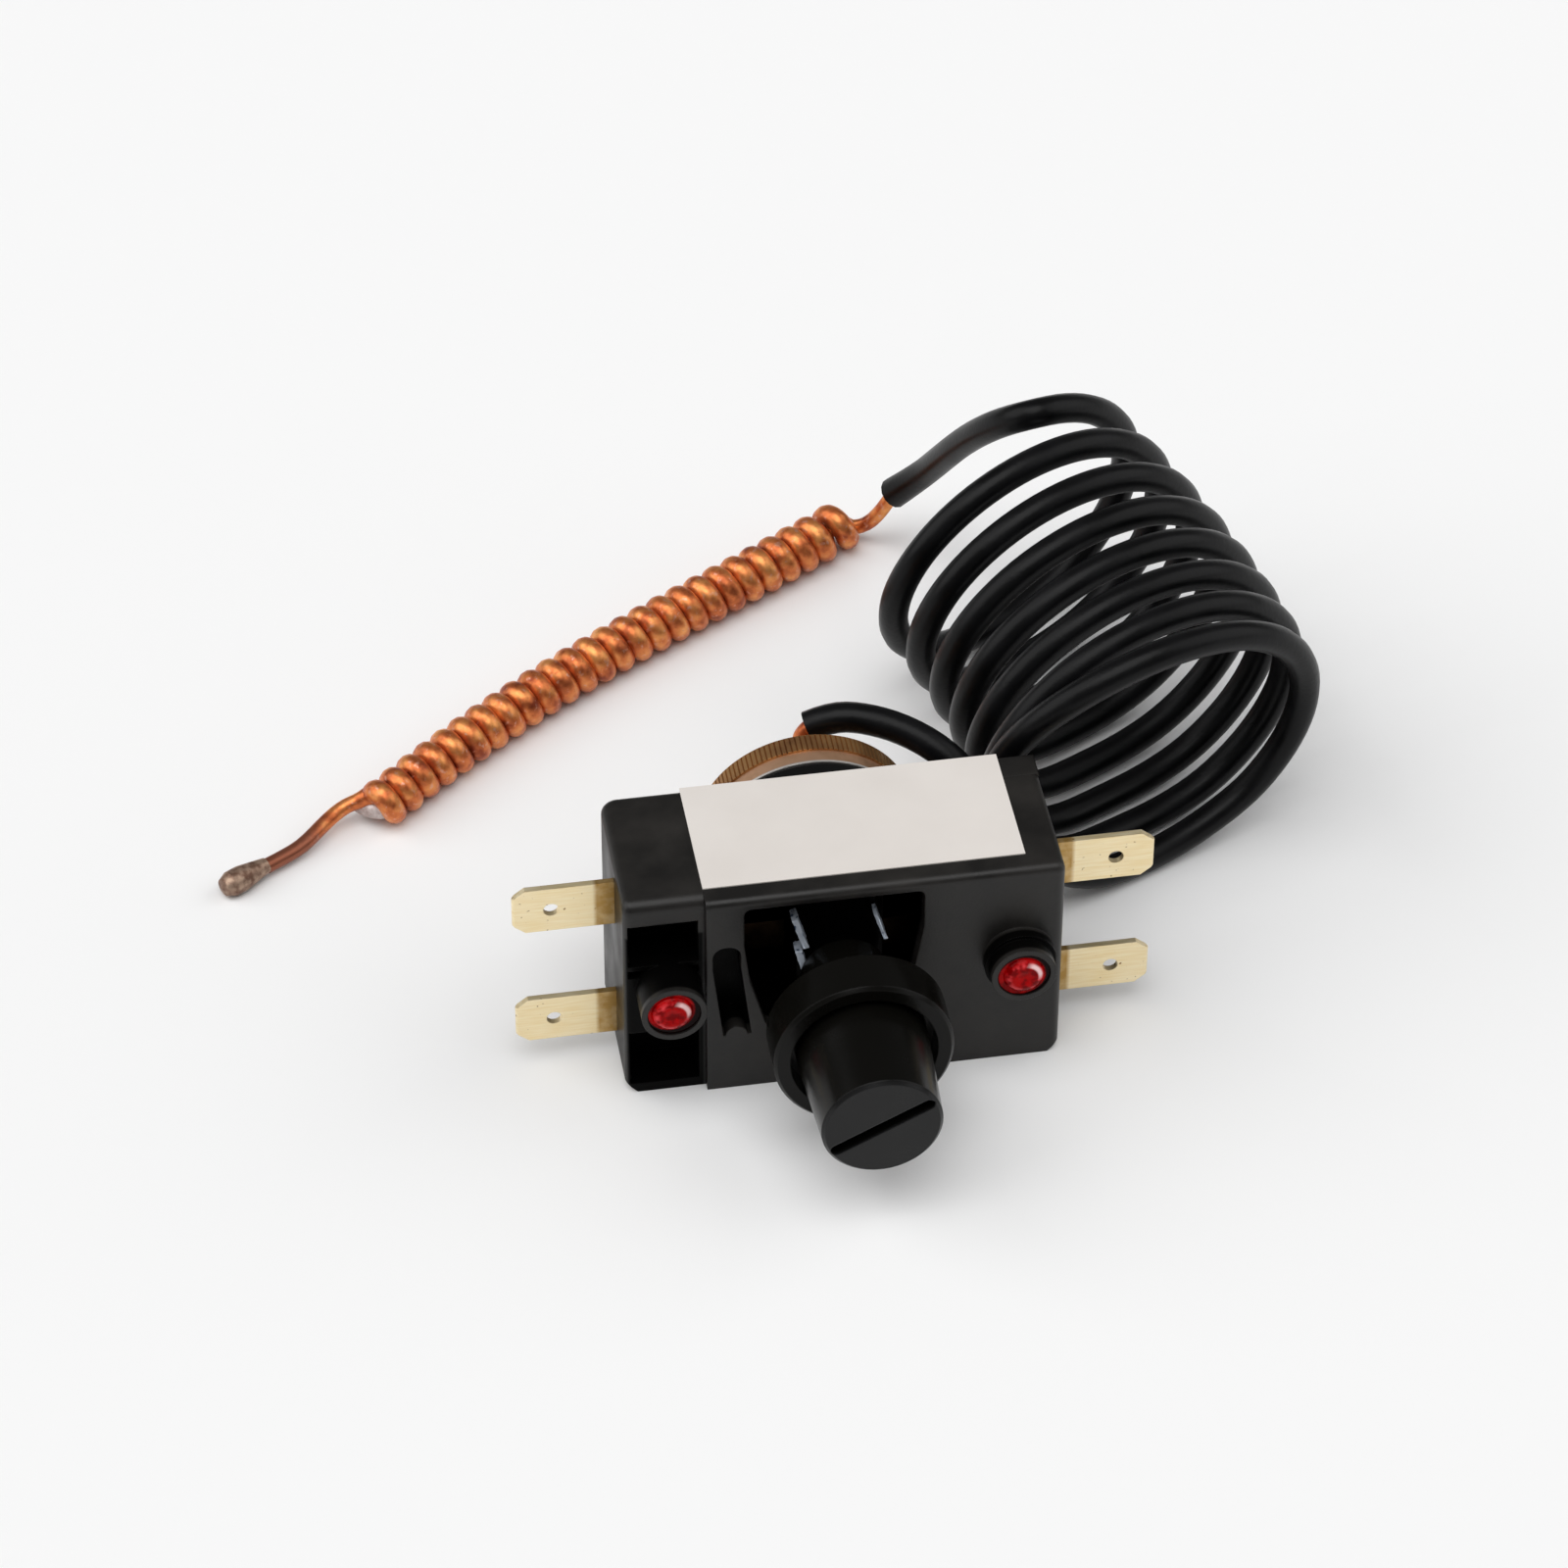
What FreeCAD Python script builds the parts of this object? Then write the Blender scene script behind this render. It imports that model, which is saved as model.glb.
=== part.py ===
import FreeCAD, Part
import math
import os
import re
import Sketcher

# A control thermostat with a remote sensing bulb. Its flat housing stands on its long side
# with the setting knob to the front (-Y), two push-on blades at each end, and the pressure
# capsule behind (+Y). A sleeved capillary leaves the capsule, lies in a loose coil behind the
# housing and ends in a bulb of close-wound copper tube. Z is up. The origin is the middle of
# the housing's lower face. Lengths are in millimetres, angles in degrees.

os.makedirs("parts", exist_ok=True)
doc = FreeCAD.newDocument("capillary_thermostat")

SIZES = {
    # housing
    "housing_width": 51.0,
    "housing_depth": 20.2,
    "housing_height": 29.0,
    "block_width": 9.4,
    "cover_wall": 2.0,
    "back_wall": 4.0,
    "block_setback": 1.0,
    "corner_round": 1.0,
    "foot_chamfer": 1.4,
    "edge_round": 1.0,
    "block_top_round": 1.5,
    "block_end_round": 2.0,
    "axis_rise": 0.5,
    # setting window and the adjusting slot beside it
    "window_inset": 4.35,
    "window_right": 9.1,
    "window_head": 1.4,
    "window_waist": 1.6,
    "window_foot": 5.9,
    "window_left_slant": 2.6,
    "window_right_slant": 1.8,
    "window_round": 0.9,
    "slot_edge": 0.7,
    "slot_width": 3.3,
    "slot_lean": 1.2,
    "slot_round": 1.5,
    "slot_rise": 7.1,
    "slot_depth": 4.0,
    "pin_inset": 3.45,
    "pin_drop": 6.7,
    "pin_radius": 1.25,
    # pockets of the terminal block
    "pocket_depth": 5.5,
    "pocket_wall": 0.5,
    "pocket_seam_wall": 0.8,
    "top_lip": 3.1,
    "upper_rib": 4.7,
    "middle_rib": 2.3,
    "rib_thickness": 0.6,
    "lower_rib": 5.6,
    "bottom_lip": 1.3,
    "side_block": 2.0,
    # screw bosses
    "left_boss_inset": 5.1,
    "right_boss_inset": 5.3,
    "boss_rise": 1.05,
    "boss_radius": 3.8,
    "boss_root": 4.2,
    "boss_root_length": 1.6,
    "boss_length": 3.7,
    "boss_bore": 3.1,
    "boss_floor": 1.0,
    "screw_guide": 3.0,
    "screw_radius": 1.5,
    "screw_head": 2.6,
    "screw_head_height": 1.6,
    "screw_slot": 0.6,
    "screw_slot_depth": 0.8,
    "lacquer_sink": 0.5,
    "lacquer_crown": 0.9,
    "lacquer_shoulder": 2.3,
    "lacquer_flat": 1.1,
    # push-on blades
    "blade_width": 6.3,
    "blade_thickness": 0.8,
    "blade_reach": 11.8,
    "blade_margin": 6.0,
    "blade_hole": 0.9,
    "blade_hole_inset": 4.5,
    "blade_tip": 1.5,
    "blade_corner": 1.2,
    "blade_bevel": 0.25,
    "left_blade_depth": 8.5,
    "right_blade_depth": 6.9,
    "leg_width": 6.0,
    "leg_overlap": 2.0,
    "leg_foot": 2.5,
    "arm_overlap": 1.55,
    "arm_reach": 2.1,
    "arm_rise": 1.95,
    # contact levers
    "lever_thickness": 0.4,
    "lever_width": 4.0,
    "lever_tip": 5.6,
    "lever_tail": 1.5,
    "lever_gap": 0.25,
    "rivet_offset": 2.9,
    "rivet_radius": 0.7,
    "rivet_head": 1.15,
    "rivet_crown": 0.7,
    "rivet_head_height": 0.5,
    "chamber_slack": 0.9,
    "contact_radius": 1.3,
    "contact_face": 0.9,
    "contact_height": 0.6,
    "contact_gap": 0.2,
    # setting knob, spindle, nut and spring
    "knob_hub": 5.0,
    "knob_hub_sink": 1.5,
    "collar_radius": 10.4,
    "collar_start": 6.7,
    "collar_thickness": 6.0,
    "collar_ring": 1.9,
    "collar_groove": 3.0,
    "knob_root": 7.6,
    "knob_tip": 6.95,
    "knob_reach": 24.4,
    "knob_edge": 0.4,
    "knob_slot_length": 11.7,
    "knob_slot_width": 1.5,
    "knob_slot_depth": 2.5,
    "knob_slot_angle": 27.6,
    "spindle_radius": 2.0,
    "spindle_grip": 12.0,
    "bush_radius": 3.6,
    "bush_front": 0.2,
    "bush_flange": 5.0,
    "bracket_width": 10.0,
    "bracket_margin": 4.9,
    "bracket_sheet": 0.8,
    "bracket_foot": 2.2,
    "frame_screw": 0.6,
    "frame_screw_head": 1.05,
    "nut_width": 8.0,
    "spring_radius": 3.0,
    "spring_wire": 0.6,
    "spring_pitch": 1.35,
    "spring_nut_gap": 0.6,
    "spring_plunger_gap": 0.9,
    # plunger
    "plunger_radius": 4.2,
    "plunger_stem": 2.0,
    "plunger_post": 2.0,
    "plunger_width": 3.6,
    # pressure capsule
    "capsule_margin": 1.5,
    "lip_inset": 0.3,
    "flange_inset": 0.5,
    "flange_thickness": 3.7,
    "flange_relief": 0.5,
    "lip_width": 2.0,
    "band_width": 2.5,
    "band_teeth": 132,
    "tooth_depth": 0.22,
    "cup_wall": 0.8,
    "cup_rear": 0.6,
    "cup_boss": 3.5,
    "diaphragm_inset": 1.8,
    "diaphragm_sheet": 0.3,
    # capillary and bulb
    "capillary_radius": 0.95,
    "solder_radius": 1.9,
    "solder_neck": 1.2,
    "sleeve_radius": 1.55,
    "seal_radius": 1.6,
    "seal_length": 6.6,
    "bulb_radius": 3.2,
    "bulb_wall": 1.8,
    "bulb_pitch": 3.05,
    "bulb_turns": 25,
    "bulb_wire": 2.65,
    "bulb_crest": 1.7,
    "label_sheet": 0.15,
    "label_margin": 4.3,
    "label_inset": 2.7,
    # clearances
    "fit_clearance": 0.05,
    "slide_clearance": 0.1,
    "free_clearance": 0.3,
}

sheet = doc.addObject("Spreadsheet::Sheet", "Sizes")
for row, (alias, number) in enumerate(SIZES.items(), start=1):
    sheet.set(f"A{row}", alias)
    sheet.set(f"B{row}", str(number))
    sheet.setAlias(f"B{row}", alias)
doc.recompute()

# Shares of the chamber's depth that the parts behind the knob take up, one behind the other.
FRAME_SETBACK_SHARE = 0.134
NUT_CLEARANCE_SHARE = 0.049
NUT_SHARE = 0.169
PLUNGER_SHARE = 0.127
PLUNGER_SETBACK_SHARE = 0.077

# Share of the way from a lever's tip to its contact at which the plunger's arm ends.
ARM_SHARE = 0.4

# Share of the shorter run that a bend of a cord takes up.
BEND_SHARE = 0.45

# The drop of solder: shares of its length, each with a share of its radius.
DROP_FORM = [(0.55, 1), (0.8, 1), (0.96, 0.7)]

# How far a place may lie from an edge, a direction from an edge's own, and a volume from
# the one expected.
PLACE_TOLERANCE = 0.02
DIRECTION_TOLERANCE = 1e-6
VOLUME_TOLERANCE = 0.01

# Planes of the housing, as expressions of the sheet's cells.
FRONT = "(-housing_depth / 2)"
REAR = "(housing_depth / 2)"
LEFT = "(-housing_width / 2)"
RIGHT = "(housing_width / 2)"
SEAM = f"({LEFT} + block_width)"
BACK = f"({REAR} - back_wall)"
INNER_FRONT = f"({FRONT} + cover_wall)"
CHAMBER = "(housing_depth - cover_wall - back_wall)"
CENTRE = "(housing_height / 2 + axis_rise)"
CAPSULE = "(housing_height / 2 - capsule_margin)"
DISC = f"({CAPSULE} - diaphragm_inset)"
BOSS_HEIGHT = f"({CENTRE} + boss_rise)"
FRAME_HALF = "(housing_height / 2 - bracket_margin)"


def cells(text):
    """Turn the words of an expression into references to the sheet's cells."""
    return re.sub(r"[a-z]+(?:_[a-z]+)+", lambda word: "Sizes." + word.group(0), text)


def value(text):
    """The number that an expression of the sheet's cells gives now."""
    return float(sheet.evalExpression(cells(str(text))))


def bind(thing, field, text):
    """Tie a property to an expression of the sheet's cells."""
    thing.setExpression(field, cells(str(text)))


def label(thing, name):
    """Give a finished sub-part its name and list it."""
    thing.Label = name
    PARTS[name] = thing
    return thing


PARTS = {}


# Sketches: every point and radius is a constraint tied to the sheet.
def body_at(name, east="0", height="0"):
    """A body whose own frame is moved along X and Z."""
    body = doc.addObject("PartDesign::Body", name)
    bind(body, "Placement.Base.x", east)
    bind(body, "Placement.Base.z", height)
    return body


def sketch_on(body, name, role, offset="0"):
    """A sketch on one of the body's own planes, moved along that plane's normal."""
    sketch = body.newObject("Sketcher::SketchObject", name)
    support = [plane for plane in body.Origin.OriginFeatures if plane.Role == role]
    sketch.AttachmentSupport = [(support[0], "")]
    sketch.MapMode = "FlatFace"
    bind(sketch, "AttachmentOffset.Base.z", offset)
    return sketch


def tie(sketch, kind, geometry, point, text):
    """Constrain a point's distance from the sketch's origin to an expression."""
    index = sketch.addConstraint(
        Sketcher.Constraint(kind, -1, 1, geometry, point, value(text)))
    bind(sketch, f"Constraints[{index}]", text)


def polygon(sketch, corners):
    """A closed outline of straight sides through corners given as two expressions each."""
    places = [FreeCAD.Vector(value(x), value(y), 0) for x, y in corners]
    sides = []
    for index, place in enumerate(places):
        following = places[(index + 1) % len(places)]
        sides.append(sketch.addGeometry(Part.LineSegment(place, following), False))
    for index, side in enumerate(sides):
        following = sides[(index + 1) % len(sides)]
        sketch.addConstraint(Sketcher.Constraint("Coincident", side, 2, following, 1))
        tie(sketch, "DistanceX", side, 1, corners[index][0])
        tie(sketch, "DistanceY", side, 1, corners[index][1])


def rectangle(sketch, left, right, low, high):
    """A closed rectangle between four expressions."""
    polygon(sketch, [(left, low), (right, low), (right, high), (left, high)])


def circle(sketch, x, y, radius):
    """A circle whose centre and radius are expressions."""
    centre = FreeCAD.Vector(value(x), value(y), 0)
    ring = sketch.addGeometry(
        Part.Circle(centre, FreeCAD.Vector(0, 0, 1), value(radius)), False)
    tie(sketch, "DistanceX", ring, 3, x)
    tie(sketch, "DistanceY", ring, 3, y)
    index = sketch.addConstraint(Sketcher.Constraint("Radius", ring, value(radius)))
    bind(sketch, f"Constraints[{index}]", radius)


def pad(body, name, draw, back, length, role="XZ_Plane"):
    """Add an outline's prism. On XZ it runs forward (-Y) from the plane Y = back."""
    offset = f"-({back})" if role == "XZ_Plane" else back
    sketch = sketch_on(body, name + "_outline", role, offset)
    draw(sketch)
    feature = body.newObject("PartDesign::Pad", name)
    feature.Profile = sketch
    bind(feature, "Length", length)
    doc.recompute()
    return feature


def pocket(body, name, draw, back, length, role="XZ_Plane"):
    """Cut an outline's prism. On XZ it runs forward (-Y) from the plane Y = back."""
    before = body.Shape.Volume
    offset = f"-({back})" if role == "XZ_Plane" else back
    sketch = sketch_on(body, name + "_outline", role, offset)
    draw(sketch)
    feature = body.newObject("PartDesign::Pocket", name)
    feature.Profile = sketch
    feature.Reversed = True
    bind(feature, "Length", length)
    doc.recompute()
    if not body.Shape.Volume < before:
        raise ValueError(f"{name} cuts nothing")
    return feature


def turned(body, name, profile):
    """Turn a profile of (radius, depth) corners about the body's own Y axis."""
    sketch = sketch_on(body, name + "_profile", "XY_Plane")
    polygon(sketch, profile)
    feature = body.newObject("PartDesign::Revolution", name)
    feature.Profile = sketch
    feature.ReferenceAxis = (sketch, ["V_Axis"])
    feature.Angle = 360.0
    doc.recompute()
    return feature


def edges_near(shape, direction, places):
    """Names of the straight edges along a direction that pass through given places."""
    found = []
    for index, edge in enumerate(shape.Edges, start=1):
        if len(edge.Vertexes) != 2 or edge.Curve.TypeId != "Part::GeomLine":
            continue
        along = edge.Vertexes[1].Point - edge.Vertexes[0].Point
        if abs(abs(along.normalize() * direction) - 1) > DIRECTION_TOLERANCE:
            continue
        middle = edge.CenterOfMass
        for place in places:
            offset = middle - place
            if (offset - direction * (offset * direction)).Length < PLACE_TOLERANCE:
                found.append(f"Edge{index}")
    return found


def soften(body, name, radius, direction, places, kind="Fillet"):
    """Round or chamfer the edges along a direction at given places of the body."""
    base = body.Tip
    points = [FreeCAD.Vector(*(value(part) for part in place)) for place in places]
    names = edges_near(base.Shape, direction, points)
    if not names:
        raise ValueError(f"{name} finds no edge")
    feature = body.newObject(f"PartDesign::{kind}", name)
    feature.Base = (base, names)
    bind(feature, "Radius" if kind == "Fillet" else "Size", radius)
    doc.recompute()
    return feature


AXIS_X = FreeCAD.Vector(1, 0, 0)
AXIS_Y = FreeCAD.Vector(0, 1, 0)
AXIS_Z = FreeCAD.Vector(0, 0, 1)

# Places shared by several sub-parts.
BOSS = {
    "left": f"({LEFT} + left_boss_inset)",
    "right": f"({RIGHT} - right_boss_inset)",
}
SIGN = {"left": "(-1)", "right": "1"}
END = {"left": LEFT, "right": RIGHT}
BLADE_BACK = {
    side: f"({FRONT} + {side}_blade_depth + blade_thickness / 2)" for side in BOSS
}
BLADE_HEIGHT = {
    "upper": f"({CENTRE} + housing_height / 2 - blade_margin)",
    "lower": f"({CENTRE} - housing_height / 2 + blade_margin)",
}
RIVET = {side: f"({BOSS[side]} - {SIGN[side]} * rivet_offset)" for side in BOSS}
CONTACT = {side: f"(({RIVET[side]} + {SIGN[side]} * lever_tip) / 2)" for side in BOSS}
PLUNGER_ARM = f"(lever_tip + ({CONTACT['right']} - lever_tip) * {ARM_SHARE})"
LEVER_FRONT = {side: f"({BLADE_BACK[side]} + lever_gap)" for side in BOSS}
LEVER_BACK = {side: f"({LEVER_FRONT[side]} + lever_thickness)" for side in BOSS}
ARM_FRONT = {
    side: f"({LEVER_BACK[side]} + contact_height * 2 + contact_gap)" for side in BOSS
}
BRACKET_FRONT = f"({INNER_FRONT} + {CHAMBER} * {FRAME_SETBACK_SHARE})"
BRACKET_BACK = f"({BRACKET_FRONT} + bracket_sheet)"
BUSH_BACK = f"({BRACKET_BACK} + bracket_sheet)"
NUT_FRONT = f"({BUSH_BACK} + {CHAMBER} * {NUT_CLEARANCE_SHARE})"
NUT_THICKNESS = f"({CHAMBER} * {NUT_SHARE})"
NUT_BACK = f"({NUT_FRONT} + {NUT_THICKNESS})"
PLUNGER_BACK = f"({BACK} - {CHAMBER} * {PLUNGER_SETBACK_SHARE})"
PLUNGER_FRONT = f"({PLUNGER_BACK} - {CHAMBER} * {PLUNGER_SHARE})"
FLANGE_BACK = f"({REAR} + flange_thickness)"
BAND_START = f"({FLANGE_BACK} + lip_width)"
BAND_END = f"({BAND_START} + band_width)"
CUP_END = f"({BAND_END} + cup_rear)"
STUB_ROOT = f"({CUP_END} + cup_wall)"


def housing_outline(sketch, left, right, chamfer_left):
    """The housing's front view between two planes, with its chamfered lower corners."""
    corners = [(left, "0")]
    if chamfer_left:
        corners = [(left, "foot_chamfer"), (f"{left} + foot_chamfer", "0")]
    corners += [
        (f"{right} - foot_chamfer", "0"),
        (right, "foot_chamfer"),
        (right, "housing_height"),
        (left, "housing_height"),
    ]
    polygon(sketch, corners)


def blade_slot(side, level, sketch):
    """The section of a blade's slot in the end wall, seen from the side."""
    back = BLADE_BACK[side]
    height = BLADE_HEIGHT[level]
    rectangle(
        sketch,
        f"{back} - blade_thickness - slide_clearance",
        f"{back} + slide_clearance",
        f"{height} - blade_width / 2 - slide_clearance",
        f"{height} + blade_width / 2 + slide_clearance",
    )


def make_rear_base():
    """The moulded base: the back wall with the pocketed terminal block at its left end."""
    body = body_at("RearBase")
    pad(body, "base_wall", lambda s: housing_outline(s, LEFT, RIGHT, True), REAR, "back_wall")

    def block(sketch):
        polygon(sketch, [
            (LEFT, "foot_chamfer"),
            (f"{LEFT} + foot_chamfer", "0"),
            (SEAM, "0"),
            (SEAM, "housing_height"),
            (LEFT, "housing_height"),
        ])

    pad(body, "base_block", block, BACK, "housing_depth - back_wall - block_setback")
    block_front = f"({FRONT} + block_setback)"
    pocket_back = f"({block_front} + pocket_depth)"
    inner_left = f"({LEFT} + pocket_wall)"
    inner_right = f"({SEAM} - pocket_seam_wall)"
    soften(body, "base_top_round", "block_top_round", AXIS_X,
           [("0", block_front, "housing_height")])
    soften(body, "base_end_round", "block_end_round", AXIS_Z, [(LEFT, REAR, "0")])
    soften(body, "base_front_round", "edge_round", AXIS_Z, [(LEFT, block_front, "0")])

    def upper(sketch):
        rectangle(sketch, inner_left, inner_right,
                  f"{CENTRE} + upper_rib", "housing_height - top_lip")

    def middle(sketch):
        rectangle(sketch, inner_left, inner_right,
                  f"{CENTRE} + middle_rib + rib_thickness",
                  f"{CENTRE} + upper_rib - rib_thickness")

    def beside(sketch):
        rectangle(sketch, f"{inner_left} + side_block", inner_right,
                  f"{CENTRE} - lower_rib + rib_thickness * 2", f"{CENTRE} + middle_rib")

    def lower(sketch):
        rectangle(sketch, inner_left, inner_right, "bottom_lip", f"{CENTRE} - lower_rib")

    pocket(body, "upper_pocket", upper, pocket_back, "pocket_depth + boss_length")
    pocket(body, "middle_pocket", middle, pocket_back, "pocket_depth + boss_length")
    pocket(body, "beside_pocket", beside, f"{pocket_back} - pocket_depth / 3",
           "pocket_depth + boss_length")
    pocket(body, "lower_pocket", lower, pocket_back, "pocket_depth + boss_length")

    pad(body, "left_boss",
        lambda s: circle(s, BOSS["left"], BOSS_HEIGHT, "boss_radius"),
        pocket_back, f"{pocket_back} - {FRONT} + boss_length")
    pocket(body, "left_bore",
           lambda s: circle(s, BOSS["left"], BOSS_HEIGHT, "boss_bore"),
           block_front, "boss_length + block_setback")
    pocket(body, "left_screw_hole",
           lambda s: circle(s, BOSS["left"], BOSS_HEIGHT, "screw_radius + fit_clearance"),
           BLADE_BACK["left"], f"{BLADE_BACK['left']} - {block_front}")

    for level in BLADE_HEIGHT:
        pocket(body, f"left_{level}_slot", lambda s: blade_slot("left", level, s),
               LEFT, f"{SEAM} - {LEFT}", role="YZ_Plane")
    chamber_left = f"({BOSS['left']} - leg_overlap - free_clearance)"
    pocket(body, "contact_chamber",
           lambda s: rectangle(
               s,
               f"{BLADE_BACK['left']} - blade_thickness - slide_clearance",
               f"{LEVER_BACK['left']} + rivet_head_height + chamber_slack",
               f"{CENTRE} - leg_foot - free_clearance",
               f"{BLADE_HEIGHT['upper']} - blade_width / 2"),
           chamber_left, f"{SEAM} - {chamber_left}", role="YZ_Plane")
    pocket(body, "stem_hole",
           lambda s: circle(s, "0", CENTRE, "plunger_stem + fit_clearance"),
           REAR, "back_wall")
    for sign in ("", "-"):
        foot = f"{CENTRE} + {sign}({FRAME_HALF} + bracket_foot / 2)"
        pocket(body, "frame_hole" + ("_low" if sign else "_high"),
               lambda s: circle(s, "0", foot, "frame_screw"), f"{BACK} + back_wall / 2",
               "back_wall / 2")
    return label(body, "rear_base")


def make_front_cover():
    """The moulded cover: front, top, bottom and right walls, open at the back and left."""
    body = body_at("FrontCover")
    pad(body, "cover_block", lambda s: housing_outline(s, SEAM, RIGHT, False),
        BACK, "housing_depth - back_wall")
    soften(body, "cover_corner", "corner_round", AXIS_Y, [(RIGHT, "0", "housing_height")])
    soften(body, "cover_top_round", "edge_round", AXIS_X, [("0", FRONT, "housing_height")])
    pocket(body, "cover_cavity",
           lambda s: rectangle(s, f"{SEAM} - cover_wall", f"{RIGHT} - cover_wall",
                               "cover_wall", "housing_height - cover_wall"),
           BACK, "housing_depth - back_wall - cover_wall")

    slot_left = f"({SEAM} + slot_edge)"
    slot_right = f"({slot_left} + slot_width)"
    slot_top = f"({CENTRE} + slot_rise)"
    slot_foot = f"({CENTRE} - pin_drop)"
    slot_floor = f"{INNER_FRONT} + slot_depth"
    pad(body, "slot_backing",
        lambda s: rectangle(s, SEAM, f"{slot_right} + slot_lean",
                            "cover_wall", f"{slot_top} + cover_wall"),
        slot_floor, "slot_depth + cover_wall / 2")

    def adjusting_slot(sketch):
        polygon(sketch, [
            (f"{slot_left} + slot_lean", slot_foot),
            (f"{slot_right} + slot_lean", slot_foot),
            (slot_right, f"{slot_top} - slot_width"),
            (slot_right, slot_top),
            (slot_left, slot_top),
            (slot_left, f"{slot_top} - slot_width"),
        ])

    pocket(body, "adjusting_slot", adjusting_slot, f"{FRONT} + slot_depth", "slot_depth")
    soften(body, "slot_top_round", "slot_round", AXIS_Y,
           [(slot_left, "0", slot_top), (slot_right, "0", slot_top)])
    pad(body, "slot_pin",
        lambda s: circle(s, f"({SEAM} + pin_inset)", slot_foot, "pin_radius"),
        slot_floor, "slot_depth + cover_wall")

    window_left = f"({SEAM} + window_inset)"
    window_top = "(housing_height - window_head)"
    window_waist = f"({CENTRE} + window_waist)"
    window_foot = f"({CENTRE} - window_foot)"
    corners = [
        (window_left, window_top),
        (window_left, f"({window_top} + {window_waist}) / 2"),
        (f"{window_left} + window_left_slant / 4", window_waist),
        (f"{window_left} + window_left_slant", window_foot),
        ("window_right - window_right_slant", window_foot),
        ("window_right - window_right_slant / 2", window_waist),
        ("window_right", f"({window_top} + {window_waist}) / 2"),
        ("window_right", window_top),
    ]
    pocket(body, "window", lambda s: polygon(s, corners),
           slot_floor, "cover_wall + slot_depth")
    soften(body, "window_corner_round", "window_round", AXIS_Y,
           [(x, "0", z) for x, z in (corners[0], corners[3], corners[4], corners[-1])])

    boss = BOSS["right"]
    pad(body, "right_boss_back", lambda s: circle(s, boss, BOSS_HEIGHT, "boss_bore"),
        f"{INNER_FRONT} + cover_wall", "screw_guide")
    pad(body, "right_boss_root", lambda s: circle(s, boss, BOSS_HEIGHT, "boss_root"),
        INNER_FRONT, "cover_wall + boss_root_length")
    pad(body, "right_boss", lambda s: circle(s, boss, BOSS_HEIGHT, "boss_radius"),
        INNER_FRONT, "cover_wall + boss_length")
    pocket(body, "right_bore", lambda s: circle(s, boss, BOSS_HEIGHT, "boss_bore"),
           f"{INNER_FRONT} - boss_floor", "cover_wall - boss_floor + boss_length")
    pocket(body, "right_screw_hole",
           lambda s: circle(s, boss, BOSS_HEIGHT, "screw_radius + fit_clearance"),
           f"{INNER_FRONT} + cover_wall", "cover_wall + screw_guide / 2")
    for level in BLADE_HEIGHT:
        pocket(body, f"right_{level}_slot", lambda s: blade_slot("right", level, s),
               f"{RIGHT} - cover_wall", "cover_wall", role="YZ_Plane")
    return label(body, "front_cover")


def make_rating_label():
    """The bare paper label on the housing's top face."""
    part = doc.addObject("Part::Box", "RatingLabel")
    bind(part, "Length", f"{RIGHT} - {SEAM} - label_margin")
    bind(part, "Width", "housing_depth - label_inset")
    bind(part, "Height", "label_sheet")
    bind(part, "Placement.Base.x", SEAM)
    bind(part, "Placement.Base.y", f"{FRONT} + label_inset")
    bind(part, "Placement.Base.z", "housing_height")
    return label(part, "rating_label")


def make_blade(side, level):
    """A push-on blade with its pierced, bevelled tip and the leg that it has inside."""
    body = body_at(f"Blade{side.title()}{level.title()}")
    back = BLADE_BACK[side]
    height = BLADE_HEIGHT[level]
    sign = SIGN[side]
    tip = f"({END[side]} + {sign} * blade_reach)"
    outer_leg = f"({BOSS[side]} + {sign} * leg_overlap)"
    inner_leg = f"({outer_leg} - {sign} * leg_width)"
    high = f"({height} + blade_width / 2)"
    low = f"({height} - blade_width / 2)"
    contact = CONTACT[side]
    arm_start = f"({contact} + {sign} * arm_reach)"
    joggle_start = f"(({RIVET[side]} + {arm_start}) / 2)"

    def outline(sketch):
        points = [
            (f"{tip} - {sign} * blade_tip", low),
            (tip, f"{low} + blade_corner"),
            (tip, f"{high} - blade_corner"),
            (f"{tip} - {sign} * blade_tip", high),
        ]
        if level == "upper":
            foot = f"({CENTRE} - leg_foot)"
            points += [(inner_leg, high), (inner_leg, foot), (outer_leg, foot), (outer_leg, low)]
        else:
            points += [(joggle_start, high), (joggle_start, low)]
        polygon(sketch, points)

    pad(body, f"{side}_{level}_strip", outline, back, "blade_thickness")
    pocket(body, f"{side}_{level}_hole",
           lambda s: circle(s, f"{tip} - {sign} * blade_hole_inset", height, "blade_hole"),
           back, "blade_thickness")
    soften(body, f"{side}_{level}_bevel", "blade_bevel", AXIS_Z,
           [(tip, back, "0"), (tip, f"{back} - blade_thickness", "0")], kind="Chamfer")
    if level == "lower":
        arm = f"({ARM_FRONT[side]} + blade_thickness)"
        arm_end = f"({contact} - {sign} * arm_overlap)"

        def joggle(sketch):
            polygon(sketch, [
                (joggle_start, f"{back} - blade_thickness"),
                (joggle_start, back),
                (arm_start, arm),
                (arm_end, arm),
                (arm_end, ARM_FRONT[side]),
                (arm_start, ARM_FRONT[side]),
            ])

        pad(body, f"{side}_joggle", joggle, low, "blade_width", role="XY_Plane")
        pad(body, f"{side}_contact_arm",
            lambda s: rectangle(s, *sorted((arm_end, arm_start), key=value),
                                high, f"{CENTRE} + arm_rise"),
            arm, "blade_thickness")
    return label(body, f"{level}_{side}_blade")


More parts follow.
